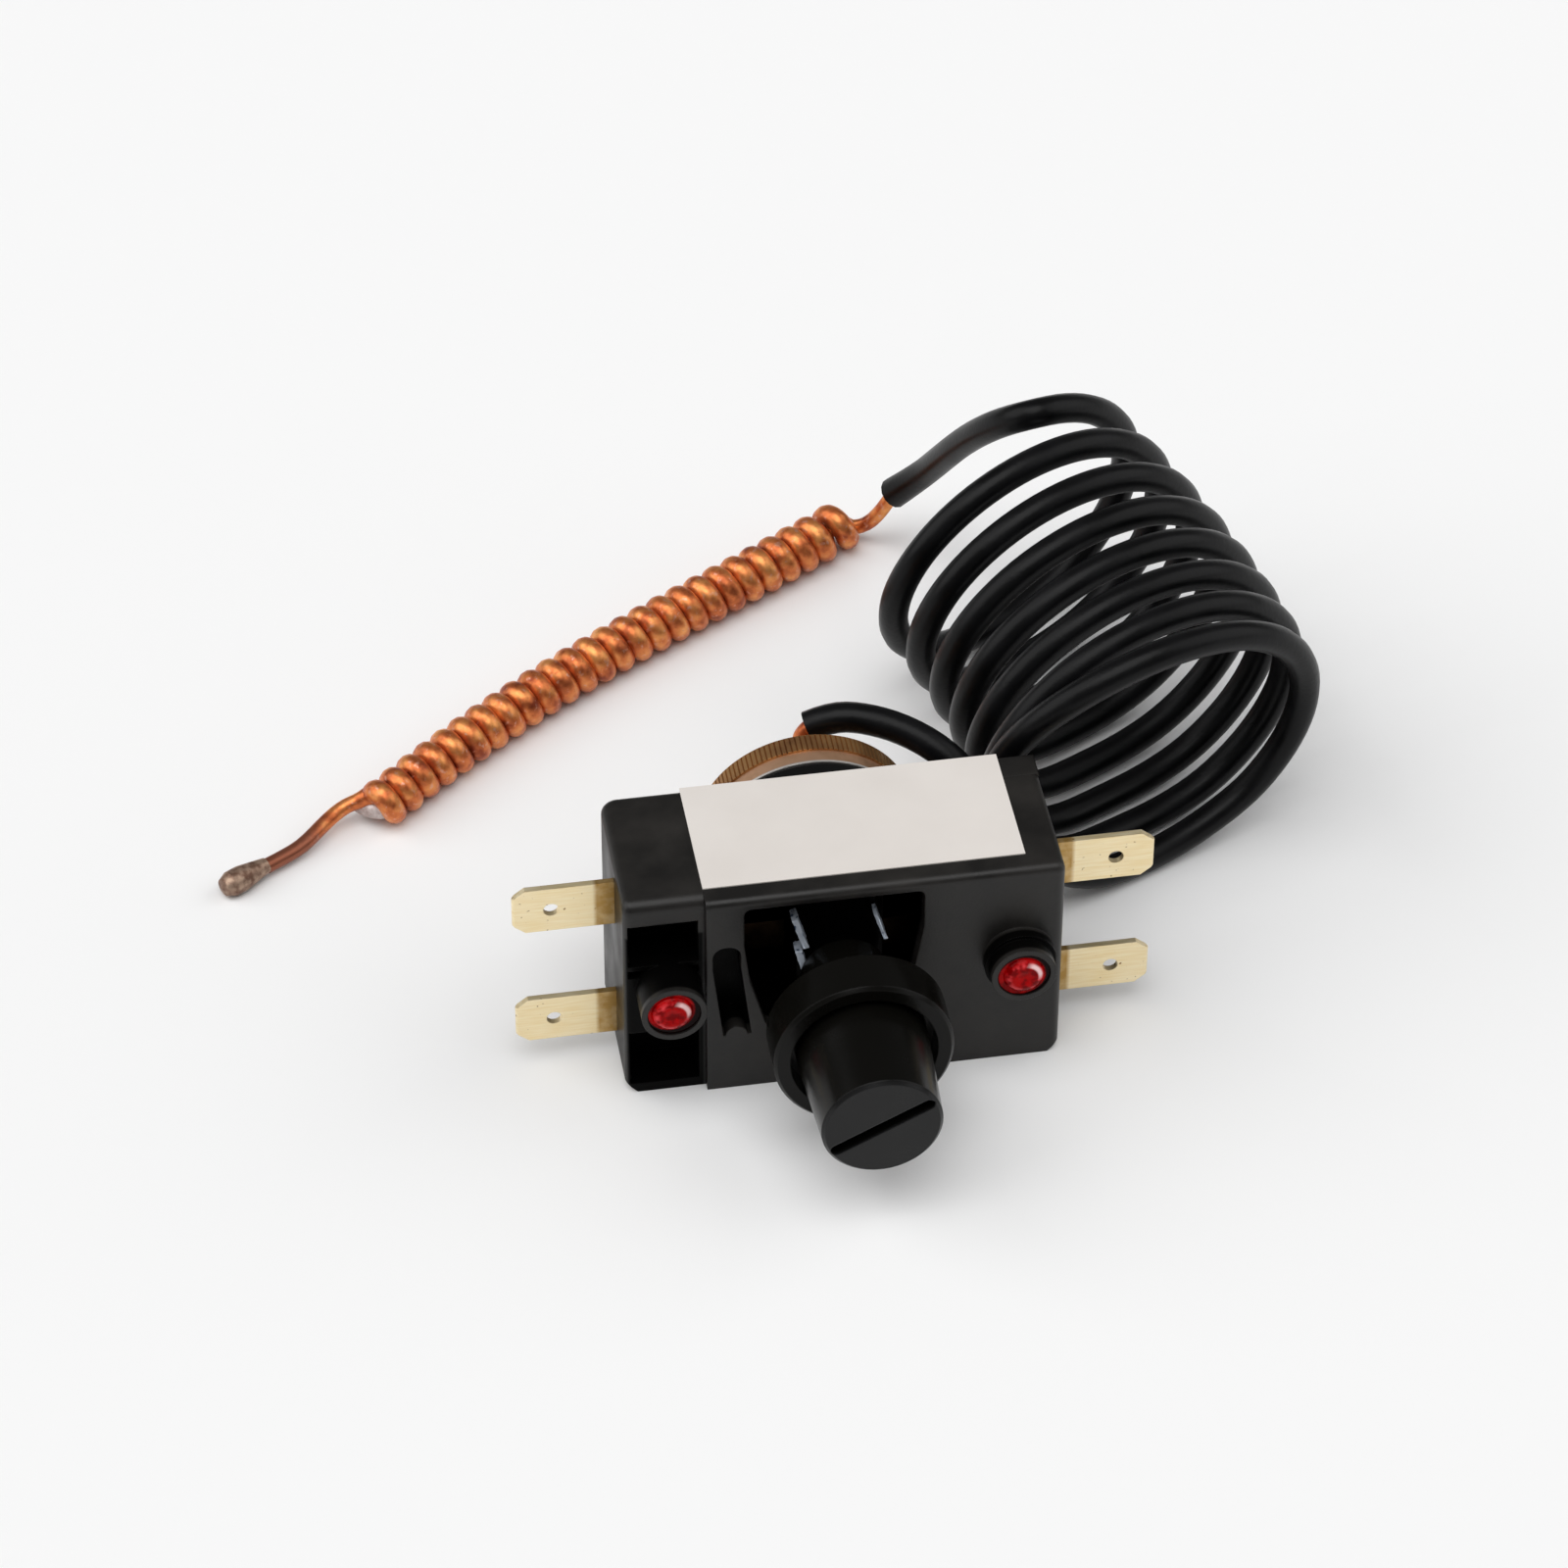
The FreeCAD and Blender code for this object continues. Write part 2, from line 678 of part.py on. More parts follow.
def make_screw(side):
    """A calibration screw: its shank bears on the blade's leg, its slotted head fills the bore."""
    body = body_at(f"Screw{side.title()}", BOSS[side], BOSS_HEIGHT)
    tip = f"({BLADE_BACK[side]} - blade_thickness)"
    seat = f"({FRONT} + block_setback)" if side == "left" else f"({INNER_FRONT} - boss_floor)"
    head = f"({seat} - screw_head_height)"
    turned(body, f"{side}_screw", [
        ("0", tip),
        ("screw_radius", tip),
        ("screw_radius", seat),
        ("screw_head", seat),
        ("screw_head", head),
        ("0", head),
    ])
    pocket(body, f"{side}_screw_slot",
           lambda s: rectangle(s, "-screw_head", "screw_head",
                               "-screw_slot / 2", "screw_slot / 2"),
           f"{head} + screw_slot_depth", "screw_slot_depth")
    label(body, f"{side}_calibration_screw")

    seal = body_at(f"Lacquer{side.title()}", BOSS[side], BOSS_HEIGHT)
    crown = f"({FRONT} - boss_length)"
    turned(seal, f"{side}_seal", [
        ("0", head),
        ("boss_bore - fit_clearance", head),
        ("boss_bore - fit_clearance", f"{crown} + lacquer_sink"),
        ("lacquer_shoulder", f"{crown} - lacquer_crown / 2"),
        ("lacquer_flat", f"{crown} - lacquer_crown"),
        ("0", f"{crown} - lacquer_crown"),
    ])
    label(seal, f"{side}_lacquer_seal")


def make_contacts(side):
    """One pole of the switch: its lever, rivet, moving contact and fixed contact."""
    sign = SIGN[side]
    contact = CONTACT[side]
    tail = f"({RIVET[side]} + {sign} * lever_tail)"
    lever = body_at(f"Lever{side.title()}")
    pad(lever, f"{side}_leaf",
        lambda s: rectangle(s, *sorted((tail, f"({sign} * lever_tip)"), key=value),
                            f"{CENTRE} - lever_width / 2", f"{CENTRE} + lever_width / 2"),
        LEVER_BACK[side], "lever_thickness")
    pocket(lever, f"{side}_leaf_hole",
           lambda s: circle(s, RIVET[side], CENTRE, "rivet_radius + lever_gap"),
           LEVER_BACK[side], "lever_thickness")
    label(lever, f"{side}_contact_lever")

    rivet = body_at(f"Rivet{side.title()}", RIVET[side], CENTRE)
    head = f"({LEVER_BACK[side]} + lever_gap)"
    turned(rivet, f"{side}_rivet", [
        ("0", BLADE_BACK[side]),
        ("rivet_radius", BLADE_BACK[side]),
        ("rivet_radius", head),
        ("rivet_head", head),
        ("rivet_crown", f"{head} + rivet_head_height"),
        ("0", f"{head} + rivet_head_height"),
    ])
    label(rivet, f"{side}_lever_rivet")

    moving = body_at(f"Moving{side.title()}", contact, CENTRE)
    far = f"({LEVER_BACK[side]} + contact_height)"
    turned(moving, f"{side}_moving", [
        ("0", LEVER_BACK[side]),
        ("contact_radius", LEVER_BACK[side]),
        ("contact_radius", f"{far} - contact_height / 3"),
        ("contact_face", far),
        ("0", far),
    ])
    label(moving, f"{side}_moving_contact")

    fixed = body_at(f"Fixed{side.title()}", contact, CENTRE)
    near = f"({ARM_FRONT[side]} - contact_height)"
    turned(fixed, f"{side}_fixed", [
        ("0", ARM_FRONT[side]),
        ("contact_radius", ARM_FRONT[side]),
        ("contact_radius", f"{near} + contact_height / 3"),
        ("contact_face", near),
        ("0", near),
    ])
    label(fixed, f"{side}_fixed_contact")


def make_knob():
    """The moulded setting knob: hub, broad grooved collar, tapered grip and a driver's slot."""
    body = body_at("Knob", "0", CENTRE)
    start = f"({FRONT} - collar_start)"
    ring = f"({start} - collar_thickness)"
    tip = f"({FRONT} - knob_reach)"
    hub_end = f"({FRONT} + knob_hub_sink)"
    bore_end = f"({FRONT} - spindle_grip)"
    turned(body, "knob_form", [
        ("spindle_radius + fit_clearance", hub_end),
        ("knob_hub", hub_end),
        ("knob_hub", start),
        ("collar_radius - knob_edge", start),
        ("collar_radius", f"{start} - knob_edge"),
        ("collar_radius", f"{ring} + knob_edge"),
        ("collar_radius - knob_edge", ring),
        ("collar_radius - collar_ring", ring),
        ("collar_radius - collar_ring", f"{ring} + collar_groove"),
        ("knob_root", f"{ring} + collar_groove"),
        ("knob_root", ring),
        ("knob_tip", f"{tip} + knob_edge"),
        ("knob_tip - knob_edge", tip),
        ("0", tip),
        ("0", bore_end),
        ("spindle_radius + fit_clearance", bore_end),
    ])

    def driver_slot(sketch):
        cosine = "cos(knob_slot_angle * 1 deg)"
        sine = "sin(knob_slot_angle * 1 deg)"
        corners = []
        for far, wide in ((-1, -1), (1, -1), (1, 1), (-1, 1)):
            length = f"{far} * knob_slot_length / 2"
            width = f"{wide} * knob_slot_width / 2"
            corners.append((f"{length} * {cosine} - {width} * {sine}",
                            f"{length} * {sine} + {width} * {cosine}"))
        polygon(sketch, corners)

    pocket(body, "driver_slot", driver_slot, f"{tip} + knob_slot_depth", "knob_slot_depth")
    for name, sign in (("left", "-"), ("right", "")):
        reach = f"{sign}(knob_slot_length / 2)"
        pocket(body, f"driver_slot_{name}_end",
               lambda s: circle(s, f"{reach} * cos(knob_slot_angle * 1 deg)",
                                f"{reach} * sin(knob_slot_angle * 1 deg)",
                                "knob_slot_width / 2"),
               f"{tip} + knob_slot_depth", "knob_slot_depth")
    return label(body, "setting_knob")


def make_spindle():
    """The steel setting spindle, gripped by the knob and carried by the bush."""
    body = body_at("Spindle", "0", CENTRE)
    turned(body, "spindle_rod", [
        ("0", f"{FRONT} - spindle_grip + fit_clearance"),
        ("spindle_radius", f"{FRONT} - spindle_grip + fit_clearance"),
        ("spindle_radius", f"{NUT_BACK} + {NUT_THICKNESS} / 2"),
        ("0", f"{NUT_BACK} + {NUT_THICKNESS} / 2"),
    ])
    return label(body, "setting_spindle")


def make_bush():
    """The brass bush, with its flange behind the frame's plate."""
    body = body_at("Bush", "0", CENTRE)
    turned(body, "bush_form", [
        ("spindle_radius + fit_clearance", f"{INNER_FRONT} + bush_front"),
        ("bush_radius", f"{INNER_FRONT} + bush_front"),
        ("bush_radius", BRACKET_BACK),
        ("bush_flange", BRACKET_BACK),
        ("bush_flange", BUSH_BACK),
        ("spindle_radius + fit_clearance", BUSH_BACK),
    ])
    return label(body, "spindle_bush")


def make_bracket():
    """The folded steel frame: a front plate, two legs and two feet on the back wall."""
    body = body_at("Bracket", "0", CENTRE)
    outer = FRAME_HALF
    inner = f"({FRAME_HALF} - bracket_sheet)"
    foot = f"({FRAME_HALF} + bracket_foot)"
    foot_front = f"({BACK} - bracket_sheet)"

    def fold(sketch):
        polygon(sketch, [
            (BRACKET_FRONT, f"-{outer}"),
            (BRACKET_FRONT, outer),
            (foot_front, outer),
            (foot_front, foot),
            (BACK, foot),
            (BACK, inner),
            (BRACKET_BACK, inner),
            (BRACKET_BACK, f"-{inner}"),
            (BACK, f"-{inner}"),
            (BACK, f"-{foot}"),
            (foot_front, f"-{foot}"),
            (foot_front, f"-{outer}"),
        ])

    pad(body, "frame_fold", fold, "-bracket_width / 2", "bracket_width", role="YZ_Plane")
    pocket(body, "bush_seat", lambda s: circle(s, "0", "0", "bush_radius + fit_clearance"),
           BRACKET_BACK, "bracket_sheet")
    for sign in ("", "-"):
        pocket(body, "foot_hole" + ("_low" if sign else "_high"),
               lambda s: circle(s, "0", f"{sign}({outer} + bracket_foot / 2)",
                                "frame_screw + fit_clearance"),
               BACK, "bracket_sheet")
    label(body, "spindle_frame")

    heads = []
    for sign in ("", "-"):
        screw = body_at("FrameScrew", "0", f"{CENTRE} + {sign}({outer} + bracket_foot / 2)")
        turned(screw, "frame_screw_form" + ("_low" if sign else "_high"), [
            ("0", f"{BACK} + back_wall / 2"),
            ("frame_screw", f"{BACK} + back_wall / 2"),
            ("frame_screw", foot_front),
            ("frame_screw_head", foot_front),
            ("frame_screw_head", f"{foot_front} - bracket_sheet"),
            ("0", f"{foot_front} - bracket_sheet"),
        ])
        heads.append(screw)
    pair = doc.addObject("Part::Compound", "FrameScrews")
    pair.Links = heads
    doc.recompute()
    return label(pair, "frame_screws")


def make_nut():
    """The setting nut, kept from turning by the frame's legs, so that it travels."""
    body = body_at("Nut", "0", CENTRE)
    half = f"({FRAME_HALF} - bracket_sheet - slide_clearance)"
    pad(body, "nut_block",
        lambda s: rectangle(s, "-nut_width / 2", "nut_width / 2", f"-{half}", half),
        NUT_BACK, NUT_THICKNESS)
    pocket(body, "nut_bore", lambda s: circle(s, "0", "0", "spindle_radius + fit_clearance"),
           NUT_BACK, NUT_THICKNESS)
    return label(body, "setting_nut")


def make_spring():
    """The range spring between the nut and the plunger, wound from square wire."""
    body = body_at("RangeSpring", "0", CENTRE)
    sketch = sketch_on(body, "spring_section", "XY_Plane")
    rectangle(sketch, "spring_radius - spring_wire / 2", "spring_radius + spring_wire / 2",
              f"{NUT_BACK} + spring_nut_gap", f"{NUT_BACK} + spring_nut_gap + spring_wire")
    coil = body.newObject("PartDesign::AdditiveHelix", "spring_coil")
    coil.Profile = sketch
    coil.ReferenceAxis = (sketch, ["V_Axis"])
    coil.Mode = "pitch-height-angle"
    bind(coil, "Pitch", "spring_pitch")
    bind(coil, "Height",
         f"{PLUNGER_FRONT} - {NUT_BACK} - spring_nut_gap - spring_plunger_gap - spring_wire")
    doc.recompute()
    return label(body, "range_spring")


def make_plunger():
    """The moulded plunger: stem, spring seat and two posts that push the levers."""
    body = body_at("Plunger", "0", CENTRE)
    stem_end = f"({FLANGE_BACK} - free_clearance)"
    turned(body, "plunger_stem", [
        ("0", PLUNGER_FRONT),
        ("plunger_radius", PLUNGER_FRONT),
        ("plunger_radius", PLUNGER_BACK),
        ("plunger_stem", PLUNGER_BACK),
        ("plunger_stem", stem_end),
        ("0", stem_end),
    ])

    def bridge(sketch):
        left_top = f"({LEVER_BACK['left']} + free_clearance)"
        right_top = f"({LEVER_BACK['right']} + free_clearance)"
        inner = f"({PLUNGER_ARM} - plunger_post)"
        polygon(sketch, [
            (f"-{PLUNGER_ARM}", PLUNGER_BACK),
            (PLUNGER_ARM, PLUNGER_BACK),
            (PLUNGER_ARM, right_top),
            (inner, right_top),
            (inner, PLUNGER_FRONT),
            (f"-{inner}", PLUNGER_FRONT),
            (f"-{inner}", left_top),
            (f"-{PLUNGER_ARM}", left_top),
        ])

    pad(body, "plunger_bridge", bridge, "-plunger_width / 2", "plunger_width",
        role="XY_Plane")
    return label(body, "plunger")


def make_capsule():
    """The pressure capsule: plastic flange, thin diaphragm and crimped cup."""
    flange = body_at("Flange", "0", CENTRE)
    turned(flange, "flange_form", [
        ("plunger_stem + fit_clearance", REAR),
        (f"{CAPSULE} - flange_inset - edge_round", REAR),
        (f"{CAPSULE} - flange_inset", f"{REAR} + edge_round"),
        (f"{CAPSULE} - flange_inset", FLANGE_BACK),
        ("plunger_stem * 2", FLANGE_BACK),
        ("plunger_stem * 2", f"{FLANGE_BACK} - flange_relief"),
        ("plunger_stem + fit_clearance", f"{FLANGE_BACK} - flange_relief"),
    ])
    label(flange, "capsule_flange")

    disc = body_at("Diaphragm", "0", CENTRE)
    turned(disc, "diaphragm_form", [
        ("0", FLANGE_BACK),
        (DISC, FLANGE_BACK),
        (DISC, f"{FLANGE_BACK} + diaphragm_sheet"),
        ("0", f"{FLANGE_BACK} + diaphragm_sheet"),
    ])
    label(disc, "diaphragm")

    cup = body_at("CrimpCup", "0", CENTRE)
    inside = f"({DISC} + fit_clearance)"
    turned(cup, "cup_form", [
        (inside, FLANGE_BACK),
        (f"{CAPSULE} - lip_inset", FLANGE_BACK),
        (f"{CAPSULE} - lip_inset", BAND_START),
        (CAPSULE, BAND_START),
        (CAPSULE, BAND_END),
        (f"{CAPSULE} - cup_rear", CUP_END),
        ("cup_boss", CUP_END),
        ("cup_boss - cup_wall / 2", STUB_ROOT),
        ("capillary_radius", STUB_ROOT),
        ("capillary_radius", f"{CUP_END} - cup_wall"),
        (inside, f"{CUP_END} - cup_wall"),
    ])

    def tooth_gap(sketch):
        polygon(sketch, [
            ("-tooth_depth", f"{CAPSULE} + tooth_depth"),
            ("tooth_depth", f"{CAPSULE} + tooth_depth"),
            ("0", f"{CAPSULE} - tooth_depth"),
        ])

    gap = pocket(cup, "tooth_gap", tooth_gap, BAND_END, "band_width")
    knurl = cup.newObject("PartDesign::PolarPattern", "knurl")
    knurl.Originals = [gap]
    knurl.Axis = ([axis for axis in cup.Origin.OriginFeatures if axis.Role == "Y_Axis"][0], [""])
    knurl.Angle = 360.0
    bind(knurl, "Occurrences", "band_teeth")
    cup.Tip = knurl
    doc.recompute()
    label(cup, "crimp_cup")


def route_wire(points):
    """Straight runs joined by tangent arcs, each as large as its two runs allow."""
    places = [FreeCAD.Vector(*point) for point in points]
    edges = []
    radii = []
    start = places[0]
    for before, corner, after in zip(places, places[1:], places[2:]):
        inward = (before - corner).normalize()
        outward = (after - corner).normalize()
        half_turn = (math.pi - inward.getAngle(outward)) / 2
        shorter = min((before - corner).Length, (after - corner).Length)
        reach = BEND_SHARE * shorter
        radius = reach / math.tan(half_turn)
        radii.append(round(radius, 1))
        enter = corner + inward * reach
        leave = corner + outward * reach
        bisector = (inward + outward).normalize()
        middle = corner + bisector * (radius / math.cos(half_turn) - radius)
        edges.append(Part.LineSegment(start, enter).toShape())
        edges.append(Part.Arc(enter, middle, leave).toShape())
        start = leave
    edges.append(Part.LineSegment(start, places[-1]).toShape())
    return Part.Wire(edges), radii


def tube(name, points, radius):
    """A round tube along a route, checked against its section times its length."""
    path, radii = route_wire(points)
    first = FreeCAD.Vector(*points[0])
    heading = FreeCAD.Vector(*points[1]) - first
    ring = Part.Wire(Part.makeCircle(radius, first, heading))
    shape = path.makePipeShell([ring], True, False)
    expected = math.pi * radius ** 2 * path.Length
    print(name, "length", round(path.Length, 1), "radii", radii)
    if abs(shape.Volume / expected - 1) > VOLUME_TOLERANCE:
        raise ValueError(f"{name} has {shape.Volume:.1f}, not {expected:.1f}")
    thing = doc.addObject("Part::Feature", name)
    thing.Shape = shape
    return thing


# The cord's routes, chosen by hand to follow how it lies. They start where the cup's back face
# stood when they were chosen; a cup that moves takes the stub along, and the lead's first
# points ever less.
CUP_HOME = 18.9
AXIS_HOME = 15.0
LEAD_FOLLOWS = 8
STUB_ROUTE = [(0.0, 22.2, 15.0), (-1.6, 23.2, 18.4), (-1.5, 23.1, 22.2), (0.7, 22.9, 23.9)]
LEAD_ROUTE = [
    STUB_ROUTE[-1], (3.3, 22.7, 25.9), (7.4, 22.2, 26.2), (12.2, 20.2, 25.7),
    (16.8, 16.9, 24.0), (20.6, 13.6, 19.8), (24.2, 12.4, 13.8), (28.6, 13.0, 7.4),
    (34.2, 15.3, 3.0), (40.6, 18.3, 1.6), (46.9, 21.1, 2.3), (52.7, 23.3, 4.6),
    (57.4, 24.8, 8.6),
]
TAIL_ROUTE = [
    (35.4, 64.8, 34.9), (32.4, 68.4, 31.6), (29.9, 73.8, 25.4), (28.0, 79.4, 18.2),
    (26.2, 84.0, 12.0), (23.3, 86.2, 8.0),
]
LINK_ROUTE = [(23.3, 86.2, 8.0), (21.5, 87.5, 5.6), (18.6, 87.4, 4.9), (15.8, 86.0, 5.5)]
SEAL_ROUTE = [
    (-47.2, 42.8, 5.2), (-48.6, 42.3, 4.2), (-50.4, 42.7, 2.9), (-52.6, 43.2, 2.5),
    (-54.9, 41.6, 2.0), (-58.0, 38.3, 1.5), (-60.4, 36.8, 1.3), (-62.9, 35.3, 1.4),
]
BULB_FAR = (-47.2, 42.8)
BULB_NEAR = (16.4, 86.4)
COIL_LEAN = -9.9
COIL_SECTIONS = [
    # centre of the turns, half their width and height at the tube's middle, and their yaw
    ((42.1, 20.8, 19.4), 20.7, 18.0, 12.5),
    ((39.1, 44.6, 18.9), 20.0, 17.3, 22.0),
    ((32.6, 66.2, 18.6), 19.3, 16.9, 22.3),
]


def follow_cup(points, followers):
    """A route whose first points move along with the cup, each less than the one before."""
    shift = FreeCAD.Vector(0, value(CUP_END) - CUP_HOME, value(CENTRE) - AXIS_HOME)
    moved = []
    for index, point in enumerate(points):
        share = max(0, 1 - index / followers)
        moved.append(tuple(FreeCAD.Vector(*point) + shift * share))
    return moved


def solder_blob():
    """The drop of solder that closes the copper tube's far end."""
    drop = doc.addObject("PartDesign::Body", "Drop")
    profile = [("0", "0"), ("capillary_radius", "0")]
    profile += [(f"seal_radius * {wide}", f"seal_length * {far}") for far, wide in DROP_FORM]
    turned(drop, "drop_form", profile + [("0", "seal_length")])
    before, end = (FreeCAD.Vector(*point) for point in SEAL_ROUTE[-2:])
    heading = FreeCAD.Vector(end.x - before.x, end.y - before.y, 0)
    drop.Placement = FreeCAD.Placement(end, FreeCAD.Rotation(AXIS_Y, heading))
    bind(drop, "Placement.Base.z", "seal_radius")
    return drop


def make_stub():
    """The copper capillary from the cup's boss to the sleeve, and its soldered root."""
    root = (0.0, value(f"{CUP_END} - cup_wall"), value(CENTRE))
    route = follow_cup(STUB_ROUTE, math.inf)
    label(tube("Stub", [root] + route, value("capillary_radius")), "capillary_stub")

    solder = body_at("Solder", "0", CENTRE)
    turned(solder, "solder_form", [
        ("capillary_radius", STUB_ROOT),
        ("solder_radius", STUB_ROOT),
        ("solder_neck", f"{STUB_ROOT} + capillary_radius"),
        ("capillary_radius", f"{STUB_ROOT} + capillary_radius"),
    ])
    label(solder, "stub_solder")


def make_sleeve():
    """The plastic sleeve: its free ends as tubes and its loose coil as one hollow form."""
    sleeve = value("sleeve_radius")
    label(tube("Lead", follow_cup(LEAD_ROUTE, LEAD_FOLLOWS), sleeve), "sleeve_lead")
    label(tube("Tail", TAIL_ROUTE, sleeve), "sleeve_tail")
    stand = FreeCAD.Rotation(AXIS_X, 90 - COIL_LEAN)
    lofts = []
    for name, grow in (("CoilOuter", sleeve), ("CoilInner", -sleeve)):
        rings = []
        for index, (centre, half_width, half_height, yaw) in enumerate(COIL_SECTIONS):
            ring = doc.addObject("Part::Ellipse", f"{name}Ring{index}")
            ring.MajorRadius = half_width + grow
            ring.MinorRadius = half_height + grow
            ring.Placement = FreeCAD.Placement(
                FreeCAD.Vector(*centre), FreeCAD.Rotation(AXIS_Z, yaw) * stand)
            rings.append(ring)
        loft = doc.addObject("Part::Loft", name)
        loft.Sections = rings
        loft.Solid = True
        loft.Ruled = True
        lofts.append(loft)
    coil = doc.addObject("Part::Cut", "Coil")
    coil.Base, coil.Tool = lofts
    doc.recompute()
    label(coil, "sleeve_coil")


def make_bulb():
    """The sensing bulb: close-wound copper tube, its link to the sleeve and its sealed tail."""
    body = doc.addObject("PartDesign::Body", "BulbWinding")
    sketch = sketch_on(body, "bulb_section", "XZ_Plane")
    polygon(sketch, [
        ("bulb_radius - bulb_wall", "-bulb_wire / 2"),
        ("bulb_radius", "-bulb_crest / 2"),
        ("bulb_radius", "bulb_crest / 2"),
        ("bulb_radius - bulb_wall", "bulb_wire / 2"),
    ])
    winding = body.newObject("PartDesign::AdditiveHelix", "bulb_winding")
    winding.Profile = sketch
    winding.ReferenceAxis = (sketch, ["V_Axis"])
    winding.Mode = "pitch-height-angle"
    winding.LeftHanded = True
    bind(winding, "Pitch", "bulb_pitch")
    bind(winding, "Height", "bulb_pitch * bulb_turns")
    far = FreeCAD.Vector(*BULB_FAR, 0)
    along = (FreeCAD.Vector(*BULB_NEAR, 0) - far).normalize()
    body.Placement = FreeCAD.Placement(
        far, FreeCAD.Rotation(AXIS_Z, AXIS_Z.negative(), along, "ZXY"))
    bind(body, "Placement.Base.z", "bulb_radius")
    doc.recompute()
    copper = value("capillary_radius")
    link = tube("Link", LINK_ROUTE, copper)
    seal = tube("SealTail", SEAL_ROUTE, copper)
    bulb = doc.addObject("Part::MultiFuse", "Bulb")
    bulb.Shapes = [body, link, seal]
    doc.recompute()
    label(bulb, "sensing_bulb")
    label(solder_blob(), "bulb_seal")


make_rear_base()
make_front_cover()
make_rating_label()
for side in BOSS:
    for level in BLADE_HEIGHT:
        make_blade(side, level)
    make_screw(side)
    make_contacts(side)
make_knob()
make_spindle()
make_bush()
make_bracket()
make_nut()
make_spring()
make_plunger()
make_capsule()
make_stub()
make_sleeve()
make_bulb()
doc.recompute()

for thing in doc.Objects:
    if "Invalid" in thing.State or "Error" in thing.State:
        raise ValueError(f"{thing.Name} failed: {thing.State}")
for name, part in PARTS.items():
    if part.Shape.isNull() or not part.Shape.isValid():
        raise ValueError(f"{name} has no valid shape")
    print(name, "solids", len(part.Shape.Solids), "volume", round(part.Shape.Volume, 1))
for name, part in PARTS.items():
    part.Shape.exportStep(f"parts/{name}.step")
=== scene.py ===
"""A capillary thermostat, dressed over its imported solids.

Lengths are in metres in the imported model's own frame: X runs to the right along the housing,
-Y out of the setting knob, +Y out of the pressure capsule and Z up from the rest face.
"""
import logging
import math
from dataclasses import dataclass
from enum import Enum
from typing import Callable, Iterable, Sequence

import bpy
from mathutils import Matrix, Vector


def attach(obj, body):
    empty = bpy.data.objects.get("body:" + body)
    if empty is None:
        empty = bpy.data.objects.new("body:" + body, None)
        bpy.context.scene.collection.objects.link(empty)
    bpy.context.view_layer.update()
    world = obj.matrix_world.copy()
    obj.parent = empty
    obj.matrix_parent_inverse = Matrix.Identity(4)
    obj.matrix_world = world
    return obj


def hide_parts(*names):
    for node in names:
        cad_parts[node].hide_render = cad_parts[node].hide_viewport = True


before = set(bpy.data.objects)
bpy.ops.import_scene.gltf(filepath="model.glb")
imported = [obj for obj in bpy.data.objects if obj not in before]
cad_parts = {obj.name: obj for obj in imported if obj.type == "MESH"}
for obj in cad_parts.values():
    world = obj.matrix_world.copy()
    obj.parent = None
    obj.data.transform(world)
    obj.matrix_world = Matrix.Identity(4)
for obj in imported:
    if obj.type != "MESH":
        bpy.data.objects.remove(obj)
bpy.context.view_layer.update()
MM = 0.001
HOUSING = "housing"
Colour = tuple[float, float, float]
Point = tuple[float, float, float]
Span = tuple[float, float]
Socket = bpy.types.NodeSocket
FALL: Span = (1.0, 0.0)
MIDDLING: Span = (0.3, 0.7)
logger = logging.getLogger("thermostat")


class Slot(Enum):
    """Names of material slots for the new pieces; nothing in this script uses them."""

    LACQUER = "red_lacquer"
    SLEEVE = "sleeve_plastic"
    COPPER = "copper"
    SOLDER = "solder"
    STEEL = "bright_steel"


class Side(Enum):
    """The two ends of the housing."""

    LEFT = "left"
    RIGHT = "right"


class Detail(Enum):
    """How many finer layers lie on a cloudy noise."""

    SOFT = 1.0
    COARSE = 2.0
    FINE = 3.0
    FINEST = 4.0


def deselect() -> None:
    """Leave edit mode and clear the selection."""
    if bpy.context.object is not None and bpy.context.object.mode != "OBJECT":
        bpy.ops.object.mode_set(mode="OBJECT")
    bpy.ops.object.select_all(action="DESELECT")


def take(piece: bpy.types.Object) -> None:
    """Make one piece the only selected and the active one.

    Args:
        piece: The piece to take.
    """
    deselect()
    piece.select_set(True)
    bpy.context.view_layer.objects.active = piece


def settle(piece: bpy.types.Object, name: str) -> bpy.types.Object:
    """Apply a piece's place to its mesh and name both.

    Args:
        piece: The object whose place goes into its mesh.
        name: The piece's name.

    Returns:
        The same object.
    """
    take(piece)
    bpy.ops.object.transform_apply(location=True, rotation=True, scale=True)
    piece.name = name
    piece.data.name = name
    return piece


def smooth_by_angle(piece: bpy.types.Object, degrees: float) -> None:
    """Shade a piece smooth wherever its faces meet at less than an angle."""
    take(piece)
    bpy.ops.object.shade_smooth_by_angle(angle=math.radians(degrees))


def dress(piece: bpy.types.Object, material: bpy.types.Material) -> None:
    """Give a piece one material."""
    piece.data.materials.clear()
    piece.data.materials.append(material)


def place_piece(piece: bpy.types.Object, material: bpy.types.Material) -> None:
    """Dress a finished piece, let it ride on the housing and report it.

    Args:
        piece: The finished piece.
        material: Its finish.
    """
    dress(piece, material)
    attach(piece, HOUSING)
    logger.info("%s rides on %s", piece.name, HOUSING)


def skyward(azimuth: float, elevation: float) -> Vector:
    """The direction from the part towards a camera or a lamp.

    Args:
        azimuth: Degrees round from the front, towards the right.
        elevation: Degrees above the floor.

    Returns:
        The direction, one unit long.
    """
    turn = math.radians(azimuth)
    rise = math.radians(elevation)
    return Vector((math.sin(turn) * math.cos(rise), -math.cos(turn) * math.cos(rise), math.sin(rise)))


